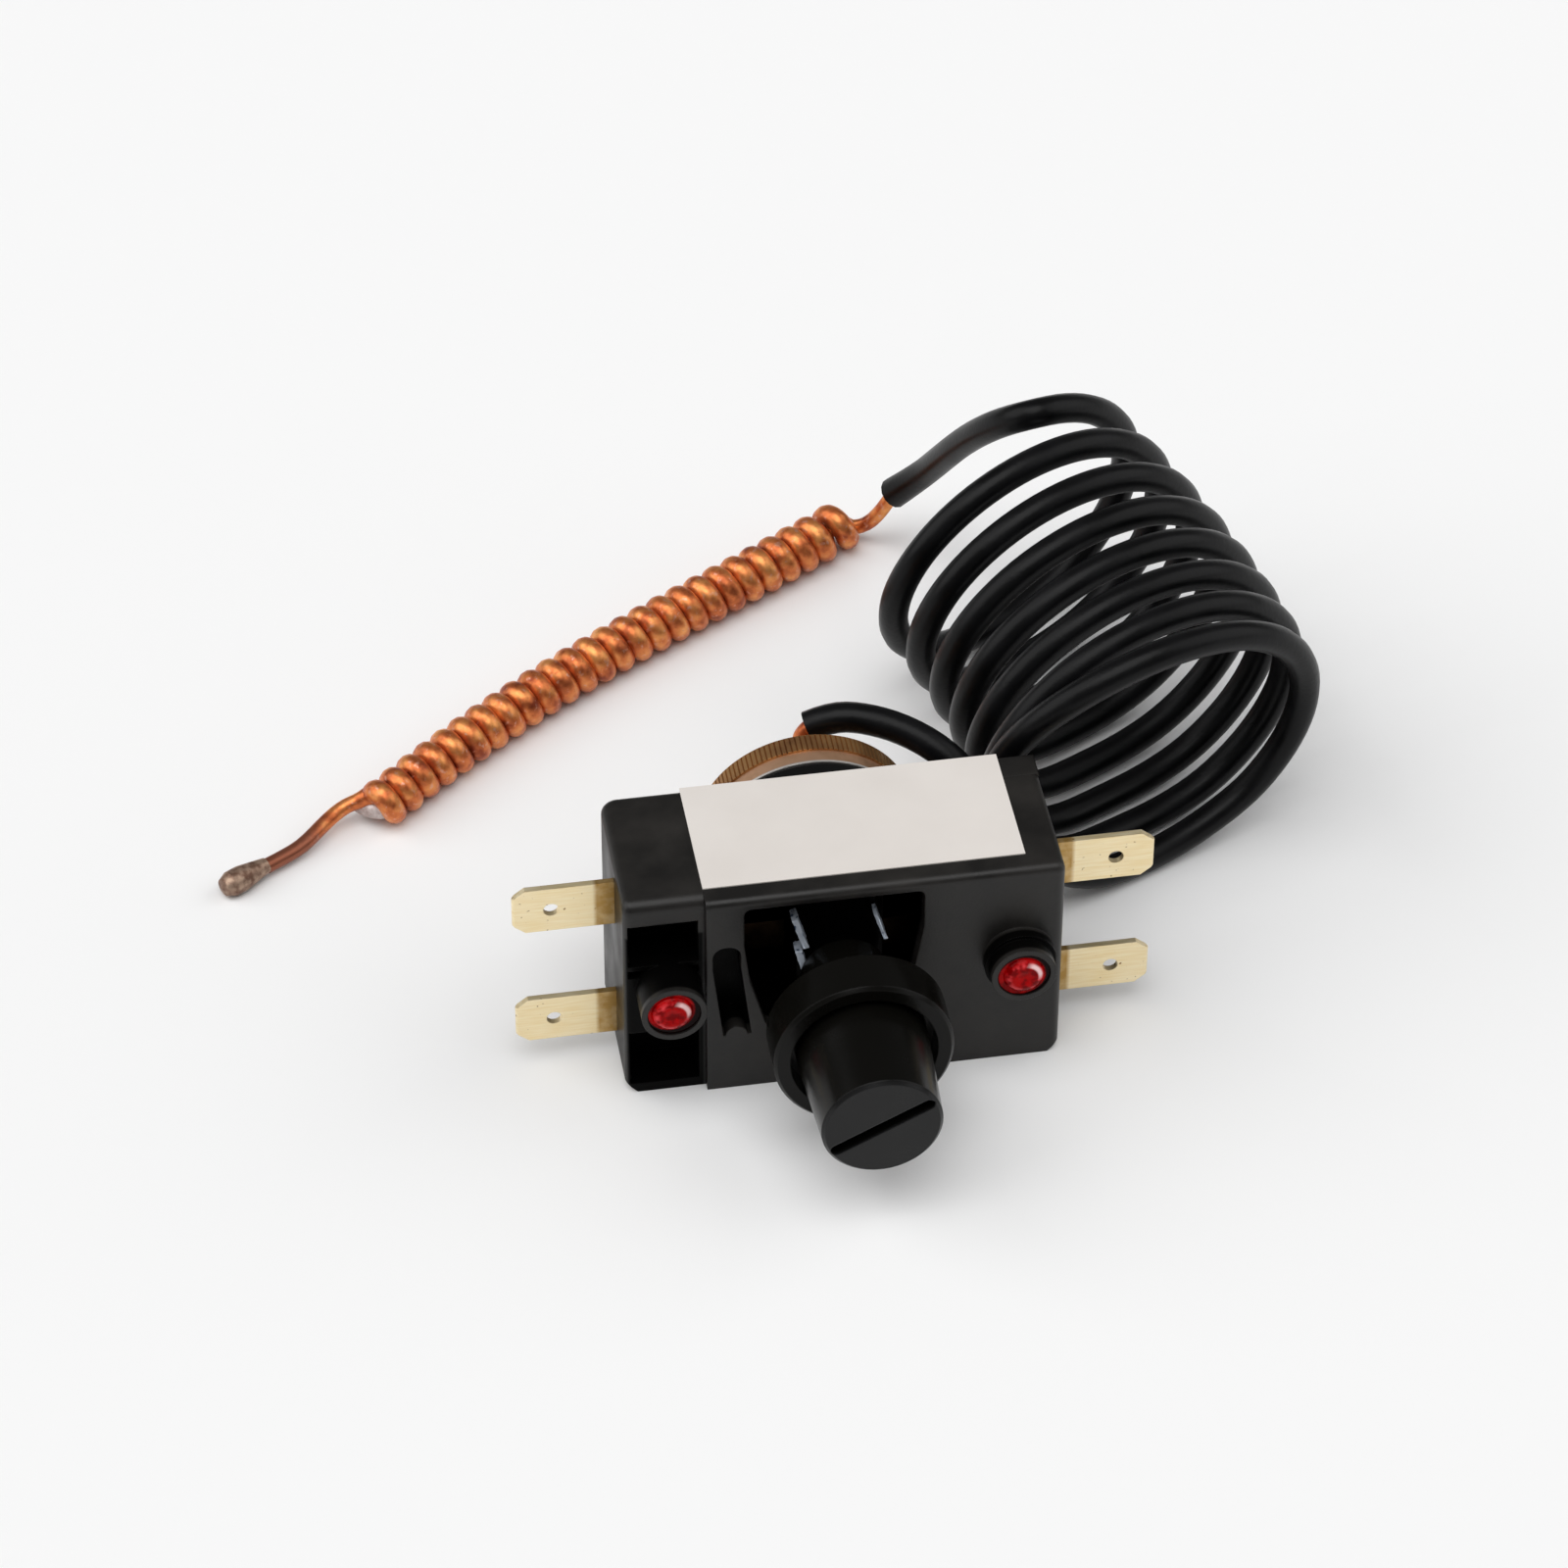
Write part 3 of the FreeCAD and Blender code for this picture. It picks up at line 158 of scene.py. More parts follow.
class Shade:
    """A node material being mixed: one shader, read in Object coordinates."""

    def __init__(self, name: str) -> None:
        """Start a material with a bare shader.

        Args:
            name: The material's name.
        """
        self.material = bpy.data.materials.new(name)
        self.material.use_nodes = True
        self.tree = self.material.node_tree
        self.shader = self.tree.nodes["Principled BSDF"]
        self.place = self.add("ShaderNodeTexCoord").outputs["Object"]

    def add(self, kind: str, **settings: object) -> bpy.types.Node:
        """Add a node with its settings.

        Args:
            kind: The node's type.
            settings: A value for each setting.

        Returns:
            The node.
        """
        node = self.tree.nodes.new(kind)
        for name, setting in settings.items():
            setattr(node, name, setting)
        return node

    def link(self, source: Socket, target: Socket) -> None:
        """Link two sockets."""
        self.tree.links.new(source, target)

    def fix(self, **numbers: object) -> None:
        """Set plain numbers and colours on the shader's own sockets.

        Args:
            numbers: A value for each socket, with underscores for the spaces in its name.
        """
        for name, number in numbers.items():
            socket = self.shader.inputs[name.replace("_", " ")]
            if isinstance(number, tuple):
                number = (*number, 1.0)
            socket.default_value = number

    def stretched(self, stretch: Point) -> Socket:
        """Object coordinates scaled along each axis.

        Args:
            stretch: The scale along each axis.

        Returns:
            The coordinates.
        """
        mapping = self.add("ShaderNodeMapping")
        mapping.inputs["Scale"].default_value = stretch
        self.link(self.place, mapping.inputs["Vector"])
        return mapping.outputs["Vector"]

    def clouds(self, size: float, detail: Detail, stretch: Point = (1.0, 1.0, 1.0)) -> Socket:
        """Cloudy noise with lumps of a real size.

        Args:
            size: Size of a lump in metres.
            detail: How many finer layers lie on it.
            stretch: How much finer it runs along each axis.

        Returns:
            The noise from 0 to 1.
        """
        noise = self.add("ShaderNodeTexNoise")
        noise.inputs["Scale"].default_value = 1.0 / size
        noise.inputs["Detail"].default_value = detail.value
        self.link(self.stretched(stretch), noise.inputs["Vector"])
        return noise.outputs["Fac"]

    def steps(self, factor: Socket, *stops: tuple[float, Colour]) -> Socket:
        """Colours along a factor.

        Args:
            factor: What picks the colour.
            stops: Pairs of place and colour, from low to high.

        Returns:
            The colour.
        """
        ramp = self.add("ShaderNodeValToRGB")
        elements = ramp.color_ramp.elements
        while len(elements) < len(stops):
            elements.new(0.5)
        for element, (position, colour) in zip(elements, stops):
            element.position = position
            element.color = (*colour, 1.0)
        self.link(factor, ramp.inputs["Fac"])
        return ramp.outputs["Color"]

    def levels(self, factor: Socket, stretch: Span, spread: Span = (0.0, 1.0)) -> Socket:
        """One stretch of a factor, spread between two new ends.

        Args:
            factor: The factor.
            stretch: Where the stretch starts and ends.
            spread: What the result is at either end and beyond it.

        Returns:
            The new factor.
        """
        remap = self.add("ShaderNodeMapRange")
        for name, number in zip(("From Min", "From Max", "To Min", "To Max"), (*stretch, *spread)):
            remap.inputs[name].default_value = number
        self.link(factor, remap.inputs["Value"])
        return remap.outputs["Result"]

    def over(self, factor: Socket, under: Socket, top: Colour) -> Socket:
        """A colour laid over another by a factor.

        Args:
            factor: How much of it shows, from 0 to 1.
            under: The colour that lies below.
            top: The colour that lies over it.

        Returns:
            The mixed colour.
        """
        mix = self.add("ShaderNodeMix", data_type="RGBA")
        self.link(factor, mix.inputs[0])
        self.link(under, mix.inputs[6])
        mix.inputs[7].default_value = (*top, 1.0)
        return mix.outputs[2]

    def beside(self, number: Socket, middle: float) -> Socket:
        """How far a number lies from a middle.

        Args:
            number: The number.
            middle: The middle.

        Returns:
            The distance, never below 0.
        """
        offset = self.add("ShaderNodeMath", operation="SUBTRACT")
        self.link(number, offset.inputs[0])
        offset.inputs[1].default_value = middle
        distance = self.add("ShaderNodeMath", operation="ABSOLUTE")
        self.link(offset.outputs[0], distance.inputs[0])
        return distance.outputs[0]

    def along(self, axis: str, middle: float = 0.0) -> Socket:
        """How far a point lies from a middle along one axis.

        Args:
            axis: The axis, X, Y or Z.
            middle: The middle in metres.

        Returns:
            The distance in metres.
        """
        parts = self.add("ShaderNodeSeparateXYZ")
        self.link(self.place, parts.inputs[0])
        return self.beside(parts.outputs[axis], middle)

    def across(self, middle: Point) -> Socket:
        """How far a point lies from a line that runs along Y.

        Args:
            middle: A point on the line in metres.

        Returns:
            The distance in metres.
        """
        offset = self.add("ShaderNodeVectorMath", operation="SUBTRACT")
        self.link(self.place, offset.inputs[0])
        offset.inputs[1].default_value = middle
        flat = self.add("ShaderNodeVectorMath", operation="MULTIPLY")
        self.link(offset.outputs[0], flat.inputs[0])
        flat.inputs[1].default_value = (1.0, 0.0, 1.0)
        radius = self.add("ShaderNodeVectorMath", operation="LENGTH")
        self.link(flat.outputs[0], radius.inputs[0])
        return radius.outputs["Value"]

    def chained(self, operation: str, factors: Sequence[Socket]) -> Socket:
        """Several factors worked together two by two.

        Args:
            operation: What is done to each pair.
            factors: The factors.

        Returns:
            The last result.
        """
        result = factors[0]
        for factor in factors[1:]:
            step = self.add("ShaderNodeMath", operation=operation)
            self.link(result, step.inputs[0])
            self.link(factor, step.inputs[1])
            result = step.outputs[0]
        return result

    def times(self, *factors: Socket) -> Socket:
        """The product of several factors."""
        return self.chained("MULTIPLY", factors)

    def either(self, *factors: Socket) -> Socket:
        """The largest of several factors."""
        return self.chained("MAXIMUM", factors)

    def inside(self, low: Point, high: Point, fade: float) -> Socket:
        """A factor that is 1 within a box and fades to 0 at its walls.

        Args:
            low: The box's lower corner in metres.
            high: Its upper corner.
            fade: How thick the fading skin is.

        Returns:
            The factor.
        """
        sides = []
        for axis, start, end in zip("XYZ", low, high):
            half = (end - start) / 2
            sides.append(self.levels(self.along(axis, (start + end) / 2), (half - fade, half), FALL))
        return self.times(*sides)

    def relief(self, height: Socket, depth: float) -> Socket:
        """Raise a height on the surface.

        Args:
            height: The height from 0 to 1.
            depth: How far 1 stands out, in metres.

        Returns:
            The normal.
        """
        bump = self.add("ShaderNodeBump")
        bump.inputs["Distance"].default_value = depth
        self.link(height, bump.inputs["Height"])
        return bump.outputs["Normal"]

    def paint(self, colour: Socket) -> None:
        """Use a colour on the shader."""
        self.link(colour, self.shader.inputs["Base Color"])

    def roughen(self, factor: Socket, rough: Span, stretch: Span = MIDDLING) -> None:
        """Let the roughness follow a stretch of a factor."""
        self.link(self.levels(factor, stretch, rough), self.shader.inputs["Roughness"])

    def emboss(self, height: Socket, depth: float) -> None:
        """Use a relief on the shader."""
        self.link(self.relief(height, depth), self.shader.inputs["Normal"])

    def rounded(self, height: Socket, depth: float, radius: float) -> None:
        """Use a relief on the shader, with the light rounded on the edges below it.

        Args:
            height: The height from 0 to 1.
            depth: How far 1 stands out, in metres.
            radius: The edges' radius in metres.
        """
        edge = self.add("ShaderNodeBevel", samples=4)
        edge.inputs["Radius"].default_value = radius
        normal = self.relief(height, depth)
        self.link(edge.outputs["Normal"], normal.node.inputs["Normal"])
        self.link(normal, self.shader.inputs["Normal"])


@dataclass(frozen=True)
class MouldedPlastic:
    """Black moulding compound with a fine grain, faint cloudy wear and painted shade: near black and little
    gloss inside listed boxes.
    """

    name: str
    colour: Colour = (0.0085, 0.0078, 0.0072)
    worn: Colour = (0.020, 0.018, 0.016)
    wear: Span = (0.35, 0.75)
    rough: Span = (0.30, 0.46)
    gloss: float = 0.32
    grain: float = 0.25 * MM
    grain_depth: float = 0.012 * MM
    cloud: float = 6.0 * MM
    edge: float = 0.22 * MM
    # Boxes of painted shade: the housing's inside, the terminal pockets, the right boss and the two end
    # walls.
    shade_boxes: tuple[tuple[Point, Point], ...] = (
        ((-24.9 * MM, -8.6 * MM, 0.5 * MM), (24.9 * MM, 9.7 * MM, 28.4 * MM)),
        ((-25.42 * MM, -13.3 * MM, -1.0 * MM), (-16.2 * MM, -8.0 * MM, 24.2 * MM)),
        ((15.5 * MM, -13.3 * MM, 11.0 * MM), (24.5 * MM, -10.4 * MM, 21.0 * MM)),
        ((-25.9 * MM, -12.0 * MM, -1.0 * MM), (-25.3 * MM, 12.0 * MM, 30.0 * MM)),
        ((25.3 * MM, -12.0 * MM, -1.0 * MM), (25.9 * MM, 12.0 * MM, 30.0 * MM)),
    )
    shade_fade: float = 0.3 * MM
    painted_shade: Colour = (0.0012, 0.0011, 0.001)
    shade_gloss: float = 0.05

    def material(self) -> bpy.types.Material:
        """Mix the finish.

        Returns:
            The material.
        """
        shade = Shade(self.name)
        clouds = shade.clouds(self.cloud, Detail.FINEST)
        # Painted shade: inside the boxes the colour turns near black and the gloss drops.
        shaded = shade.either(*(shade.inside(*box, self.shade_fade) for box in self.shade_boxes))
        base = shade.steps(clouds, (self.wear[0], self.colour), (self.wear[1], self.worn))
        shade.paint(shade.over(shaded, base, self.painted_shade))
        shade.roughen(clouds, self.rough)
        shade.rounded(shade.clouds(self.grain, Detail.COARSE), self.grain_depth, self.edge)
        shade.link(shade.levels(shaded, (0.0, 1.0), (self.gloss, self.shade_gloss)),
                   shade.shader.inputs["Specular IOR Level"])
        return shade.material


@dataclass(frozen=True)
class GlintPaintedSteel:
    """Blackened steel leaf with painted glints: patches of bluish-white colour stand for the light it
    reflects.
    """

    name: str = "glint_painted_steel"
    colour: Colour = (0.05, 0.09, 0.16)
    # The next colour is the painted glints' bluish white, and the span after it sets where the noise turns
    # from dark steel to it.
    bare: Colour = (0.80, 0.88, 1.0)
    wear: Span = (0.34, 0.42)
    rough: Span = (0.30, 0.20)
    metallic: float = 0.4
    glint_patch: float = 0.9 * MM

    def material(self) -> bpy.types.Material:
        """Mix the finish.

        Returns:
            The material.
        """
        shade = Shade(self.name)
        glint_patches = shade.clouds(self.glint_patch, Detail.FINE)
        # Painted glints: where the noise is high the colour turns bluish white.
        shade.paint(shade.steps(glint_patches, (self.wear[0], self.colour), (self.wear[1], self.bare)))
        shade.roughen(glint_patches, self.rough)
        shade.fix(Metallic=self.metallic)
        return shade.material


@dataclass(frozen=True)
class LabelFilm:
    """Satin white film on the top face."""

    name: str = "label_film"
    colour: Colour = (0.745, 0.702, 0.662)
    tint: Colour = (0.700, 0.655, 0.615)
    fading: Span = (0.3, 0.8)
    rough: float = 0.42
    specular: float = 0.4
    cloud: float = 9.0 * MM
    ripple: float = 4.0 * MM
    ripple_depth: float = 0.05 * MM

    def material(self) -> bpy.types.Material:
        """Mix the finish.

        Returns:
            The material.
        """
        shade = Shade(self.name)
        clouds = shade.clouds(self.cloud, Detail.FINE)
        shade.paint(shade.steps(clouds, (self.fading[0], self.colour), (self.fading[1], self.tint)))
        shade.emboss(shade.clouds(self.ripple, Detail.SOFT), self.ripple_depth)
        shade.fix(Roughness=self.rough, Specular_IOR_Level=self.specular)
        return shade.material


@dataclass(frozen=True)
class SealingLacquer:
    """Thick red lacquer, dark where it is deep, with a painted pale sheen along the dome's shoulder, a
    painted glint on one side of it and painted shade in black past its rim.
    """

    name: str
    middle: Point
    rim_middle: Point
    colour: Colour = (0.44, 0.001, 0.002)
    deep: Colour = (0.20, 0.0, 0.001)
    # The next three colours are painted light: a sheen along the shoulder, a glint, and shade past the rim.
    pale: Colour = (0.72, 0.06, 0.07)
    glint: Colour = (0.95, 0.62, 0.62)
    gap_shade: Colour = (0.006, 0.001, 0.001)
    depths: Span = (0.40, 0.56)
    sheen_lumps: Span = (0.42, 0.6)
    shoulder: float = 1.85 * MM
    shoulder_width: float = 0.45 * MM
    glint_side: Point = (1.5 * MM, 0.0, 1.0 * MM)
    glint_width: Span = (0.25, 0.7)
    glint_reach: Span = (0.45, 0.85)
    rim: float = 2.75 * MM
    rim_fade: Span = (-0.12 * MM, 0.1 * MM)
    lump: float = 1.1 * MM
    lump_depth: float = 0.06 * MM
    rough: float = 0.13
    specular: float = 0.06

    def material(self) -> bpy.types.Material:
        """Mix the finish.

        Returns:
            The material.
        """
        shade = Shade(self.name)
        lumps = shade.clouds(self.lump, Detail.COARSE)
        off_shoulder = shade.beside(shade.across(self.middle), self.shoulder)
        shoulder = shade.levels(off_shoulder, (0.0, self.shoulder_width), FALL)
        # Painted sheen: a pale ring along the shoulder, broken by the lumps.
        ring = shade.times(shoulder, shade.levels(lumps, self.sheen_lumps))
        lit_middle = tuple(centre + side for centre, side in zip(self.middle, self.glint_side))
        lit_reach = tuple(self.shoulder * share for share in self.glint_reach)
        lit = shade.levels(shade.across(lit_middle), lit_reach, FALL)
        # Painted glint on one side of the shoulder.
        glint = shade.times(shade.levels(shoulder, self.glint_width), lit)
        # Painted shade: black past the rim, in the gap to the boss.
        rim_stretch = tuple(self.rim + fade for fade in self.rim_fade)
        past_rim_shade = shade.levels(shade.across(self.rim_middle), rim_stretch)
        base = shade.steps(lumps, (self.depths[0], self.deep), (self.depths[1], self.colour))
        shone = shade.over(glint, shade.over(ring, base, self.pale), self.glint)
        shade.paint(shade.over(past_rim_shade, shone, self.gap_shade))
        shade.emboss(lumps, self.lump_depth)
        shade.fix(Roughness=self.rough, Specular_IOR_Level=self.specular)
        return shade.material


@dataclass(frozen=True)
class SheetBrass:
    """Stamped pale brass with dark specks, a painted reflection of the dark end wall as a brown band just
    outside the housing's walls, and painted shade, near black, inside them.
    """

    name: str = "blade_brass"
    colour: Colour = (0.90, 0.72, 0.40)
    pale: Colour = (0.98, 0.85, 0.58)
    # The brown colour is a painted reflection of the dark end wall; the near-black one is painted shade
    # inside the housing.
    wall_reflection: Colour = (0.44, 0.26, 0.075)
    dark: Colour = (0.006, 0.004, 0.002)
    speck: Colour = (0.30, 0.17, 0.06)
    wall: float = 25.5 * MM
    reflection_reach: float = 2.5 * MM
    band_fade: float = 0.5 * MM
    reflection_lumps: Span = (0.3, 0.6)
    reflection_strength: Span = (0.7, 1.0)
    brushing: float = 0.5 * MM
    brushing_stretch: Point = (0.12, 1.0, 1.6)
    brushing_depth: float = 0.008 * MM
    speck_size: float = 0.7 * MM
    speck_share: Span = (0.68, 0.74)
    edge: float = 0.08 * MM
    rough: Span = (0.30, 0.42)
    metallic: float = 0.82

    def material(self) -> bpy.types.Material:
        """Mix the finish.

        Returns:
            The material.
        """
        shade = Shade(self.name)
        streaks = shade.clouds(self.brushing, Detail.COARSE, self.brushing_stretch)
        base = shade.steps(streaks, (MIDDLING[0], self.colour), (MIDDLING[1], self.pale))
        specks = shade.levels(shade.clouds(self.speck_size, Detail.FINE), self.speck_share)
        speckled = shade.over(specks, base, self.speck)
        reach = shade.along("X")
        reflection_end = self.wall + self.reflection_reach
        patchy = shade.levels(shade.clouds(self.speck_size * 2, Detail.FINE), self.reflection_lumps,
                              self.reflection_strength)
        # Painted reflection: a patchy brown band just outside each end wall.
        ragged = shade.times(shade.levels(reach, (reflection_end - self.band_fade, reflection_end), FALL), patchy)
        reflected = shade.over(ragged, speckled, self.wall_reflection)
        # Painted shade: near black inside the housing.
        inner = shade.levels(reach, (self.wall - self.band_fade, self.wall), FALL)
        shade.paint(shade.over(inner, reflected, self.dark))
        shade.roughen(streaks, self.rough)
        shade.rounded(streaks, self.brushing_depth, self.edge)
        shade.fix(Metallic=self.metallic)
        return shade.material


@dataclass(frozen=True)
class DrawnCopper:
    """Bright copper tube with brown tarnish, pink scuffs and fine drawing marks."""

    name: str = "copper"
    colour: Colour = (0.62, 0.17, 0.05)
    bright: Colour = (0.90, 0.39, 0.12)
    tarnish: Colour = (0.27, 0.050, 0.018)
    scuff: Colour = (0.72, 0.38, 0.27)
    burnt: Colour = (0.30, 0.10, 0.055)
    places: tuple[float, float, float] = (0.30, 0.47, 0.72)
    cloud: float = 2.2 * MM
    mark: float = 0.45 * MM
    mark_share: Span = (0.62, 0.80)
    mark_strength: float = 0.55
    mark_depth: float = 0.006 * MM
    scuff_size: float = 0.765 * MM
    scuff_share: Span = (0.60, 0.72)
    scuff_strength: float = 0.7
    tip: float = -63.0 * MM
    burnt_reach: Span = (5.5 * MM, 8.5 * MM)
    rough: Span = (0.30, 0.46)
    rough_stretch: Span = (0.3, 0.75)
    metallic: float = 0.75

    def material(self) -> bpy.types.Material:
        """Mix the finish.

        Returns:
            The material.
        """
        shade = Shade(self.name)
        clouds = shade.clouds(self.cloud, Detail.FINEST)
        marks = shade.clouds(self.mark, Detail.FINE)
        base = shade.steps(clouds, *zip(self.places, (self.tarnish, self.colour, self.bright)))
        scratches = shade.levels(marks, self.mark_share, (0.0, self.mark_strength))
        scratched = shade.over(scratches, base, self.tarnish)
        scuffs = shade.levels(shade.clouds(self.scuff_size, Detail.COARSE), self.scuff_share,
                              (0.0, self.scuff_strength))
        scuffed = shade.over(scuffs, scratched, self.scuff)
        near_tip = shade.levels(shade.along("X", self.tip), self.burnt_reach, FALL)
        shade.paint(shade.over(near_tip, scuffed, self.burnt))
        shade.roughen(marks, self.rough, self.rough_stretch)
        shade.emboss(marks, self.mark_depth)
        shade.fix(Metallic=self.metallic)
        return shade.material


@dataclass(frozen=True)
class TurnedMetal:
    """A plain metal of the works with faint cloudy tarnish."""

    name: str
    colour: Colour
    tarnish: Colour
    wear: Span = (0.35, 0.62)
    rough: float = 0.32
    tarnish_rough: float = 1.3
    metallic: float = 1.0
    cloud: float = 1.8 * MM
    grain: float = 0.3 * MM
    grain_depth: float = 0.008 * MM
    edge: float = 0.06 * MM

    def material(self) -> bpy.types.Material:
        """Mix the finish.

        Returns:
            The material.
        """
        shade = Shade(self.name)
        clouds = shade.clouds(self.cloud, Detail.FINEST)
        shade.paint(shade.steps(clouds, (self.wear[0], self.tarnish), (self.wear[1], self.colour)))
        shade.roughen(clouds, (self.rough * self.tarnish_rough, self.rough))
        shade.rounded(shade.clouds(self.grain, Detail.FINE), self.grain_depth, self.edge)
        shade.fix(Metallic=self.metallic)
        return shade.material


@dataclass(frozen=True)
class CrimpedBronze:
    """Bronze of the capsule: a paler lip, a painted highlight along its front edge and a browner band."""

    name: str = "capsule_bronze"
    band: Colour = (0.52, 0.28, 0.11)
    lip: Colour = (0.80, 0.48, 0.30)
    tarnish: Colour = (0.28, 0.13, 0.055)
    # The next colour is a painted highlight along the cup's front edge.
    bright: Colour = (0.95, 0.90, 0.85)
    wear: Span = (0.33, 0.60)
    front: float = 13.8 * MM
    lip_width: float = 2.0 * MM
    lip_fade: float = 0.1 * MM
    lip_lumps: Span = (0.30, 0.55)
    lip_strength: Span = (0.45, 1.0)
    highlight_width: float = 0.22 * MM
    highlight_fade: float = 1.6
    cloud: float = 4.0 * MM
    grain: float = 0.3 * MM
    grain_depth: float = 0.008 * MM
    edge: float = 0.06 * MM
    rough: Span = (0.40, 0.28)
    metallic: float = 0.85

    def material(self) -> bpy.types.Material:
        """Mix the finish.

        Returns:
            The material.
        """
        shade = Shade(self.name)
        clouds = shade.clouds(self.cloud, Detail.FINEST)
        depth = shade.along("Y", self.front)
        band = shade.steps(clouds, (self.wear[0], self.tarnish), (self.wear[1], self.band))
        on_lip = shade.times(shade.levels(depth, (self.lip_width - self.lip_fade, self.lip_width), FALL),
                             shade.levels(clouds, self.lip_lumps, self.lip_strength))
        lip = shade.over(on_lip, band, self.lip)
        # Painted highlight: near white in a thin band at the cup's front.
        edge_highlight = shade.levels(depth, (self.highlight_width, self.highlight_width * self.highlight_fade), FALL)
        shade.paint(shade.over(edge_highlight, lip, self.bright))
        shade.roughen(clouds, self.rough)
        shade.rounded(shade.clouds(self.grain, Detail.FINE), self.grain_depth, self.edge)
        shade.fix(Metallic=self.metallic)
        return shade.material


@dataclass(frozen=True)
class SleeveRubber:
    """Satin black sleeve, slightly mottled, with soft cold highlights."""

    name: str = "sleeve_plastic"
    colour: Colour = (0.0018, 0.0018, 0.002)
    dusty: Colour = (0.004, 0.004, 0.0046)
    dust: Span = (0.35, 0.7)
    cloud: float = 5.0 * MM
    grain: float = 0.6 * MM
    grain_depth: float = 0.02 * MM
    rough: Span = (0.30, 0.40)
    specular: float = 0.16

    def material(self) -> bpy.types.Material:
        """Mix the finish.

        Returns:
            The material.
        """
        shade = Shade(self.name)
        clouds = shade.clouds(self.cloud, Detail.FINE)
        shade.paint(shade.steps(clouds, (self.dust[0], self.colour), (self.dust[1], self.dusty)))
        shade.roughen(clouds, self.rough)
        shade.emboss(shade.clouds(self.grain, Detail.COARSE), self.grain_depth)
        shade.fix(Specular_IOR_Level=self.specular)
        return shade.material


HOUSING_BLACK = MouldedPlastic("housing_plastic").material()
# The knob's grip is darkened as painted shade: a darker colour and less gloss inside this box.
GRIP_SHADE_BOX = ((-12.0 * MM, -34.3 * MM, 0.0), (12.0 * MM, -8.0 * MM, 30.0 * MM))
KNOB_BLACK = MouldedPlastic("knob_plastic", colour=(0.007, 0.007, 0.0072), worn=(0.010, 0.010, 0.010),
                            rough=(0.18, 0.28), gloss=0.22, grain_depth=0.006 * MM, shade_boxes=(GRIP_SHADE_BOX,),
                            painted_shade=(0.003, 0.0028, 0.0022), shade_gloss=0.13).material()
FLANGE_BLACK = MouldedPlastic("flange_plastic", colour=(0.002, 0.002, 0.002), worn=(0.003, 0.003, 0.003),
                              rough=(0.10, 0.16), gloss=0.3, grain_depth=0.003 * MM).material()
# Black plastic of the inside, made darker still as painted shade of the housing's dark inside.
INNER_SHADE_BLACK = MouldedPlastic("inner_plastic", colour=(0.002, 0.002, 0.002), worn=(0.004, 0.004, 0.004),
                             rough=(0.10, 0.2)).material()
# Blackened steel of the frame, bush and nut, made near black partly as painted shade of the housing's dark
# inside.
SHADE_BLACKENED_STEEL = MouldedPlastic("shade_blackened_steel", colour=(0.0015, 0.0015, 0.002), worn=(0.002, 0.002, 0.003),
                               rough=(0.10, 0.22), gloss=0.3, edge=0.15 * MM).material()
LABEL_WHITE = LabelFilm().material()
LEFT_LACQUER = SealingLacquer("left_lacquer", middle=(-20.6 * MM, 0.0, 16.2 * MM),
                              rim_middle=(-20.75 * MM, 0.0, 16.4 * MM)).material()
RIGHT_LACQUER = SealingLacquer("right_lacquer", middle=(20.2 * MM, 0.0, 16.05 * MM),
                               rim_middle=(20.0 * MM, 0.0, 15.85 * MM)).material()
BLADE_BRASS = SheetBrass().material()
COPPER = DrawnCopper().material()
SLEEVE_BLACK = SleeveRubber().material()
GLINT_PAINTED_STEEL = GlintPaintedSteel().material()
CAPSULE_BRONZE = CrimpedBronze().material()
# The contact levers' bronze is near black as painted shade of the housing's dark inside.
SHADE_DARKENED_BRONZE = TurnedMetal("spring_bronze", (0.035, 0.02, 0.01), (0.012, 0.007, 0.004)).material()
SILVER = TurnedMetal("contact_silver", (0.86, 0.85, 0.82), (0.55, 0.53, 0.50), rough=0.2).material()
STEEL = TurnedMetal("bright_steel", (0.62, 0.62, 0.63), (0.38, 0.37, 0.36)).material()
SOLDER = TurnedMetal("solder", (0.42, 0.29, 0.21), (0.17, 0.09, 0.06), rough=0.42, metallic=0.7,
                     cloud=1.0 * MM).material()
WEB_SOLDER = TurnedMetal("web_solder", (0.62, 0.55, 0.53), (0.40, 0.31, 0.29), rough=0.45, metallic=0.5,
                         cloud=0.8 * MM).material()

NODE_FINISHES = {
    "rear_base": HOUSING_BLACK,
    "front_cover": HOUSING_BLACK,
    "rating_label": LABEL_WHITE,
    "left_lacquer_seal": LEFT_LACQUER,
    "right_lacquer_seal": RIGHT_LACQUER,
    "setting_knob": KNOB_BLACK,
    "setting_spindle": STEEL,
    "spindle_bush": SHADE_BLACKENED_STEEL,
    "spindle_frame": SHADE_BLACKENED_STEEL,
    "frame_screws": STEEL,
    "setting_nut": SHADE_BLACKENED_STEEL,
    "range_spring": STEEL,
    "plunger": INNER_SHADE_BLACK,
    "capsule_flange": FLANGE_BLACK,
    "diaphragm": STEEL,
    "crimp_cup": CAPSULE_BRONZE,
    "stub_solder": SOLDER,
    "bulb_seal": SOLDER,
}


def dress_nodes() -> None:
    """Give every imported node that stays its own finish."""
    for name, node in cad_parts.items():
        if name.endswith("_blade"):
            material = BLADE_BRASS
        elif name.endswith("_contact"):
            material = SILVER
        elif name.endswith("_lever"):
            material = SHADE_DARKENED_BRONZE
        elif name.endswith(("_screw", "_rivet")):
            material = STEEL
        else:
            material = NODE_FINISHES.get(name, COPPER)
        dress(node, material)
        logger.info("%s is dressed in %s", name, material.name)


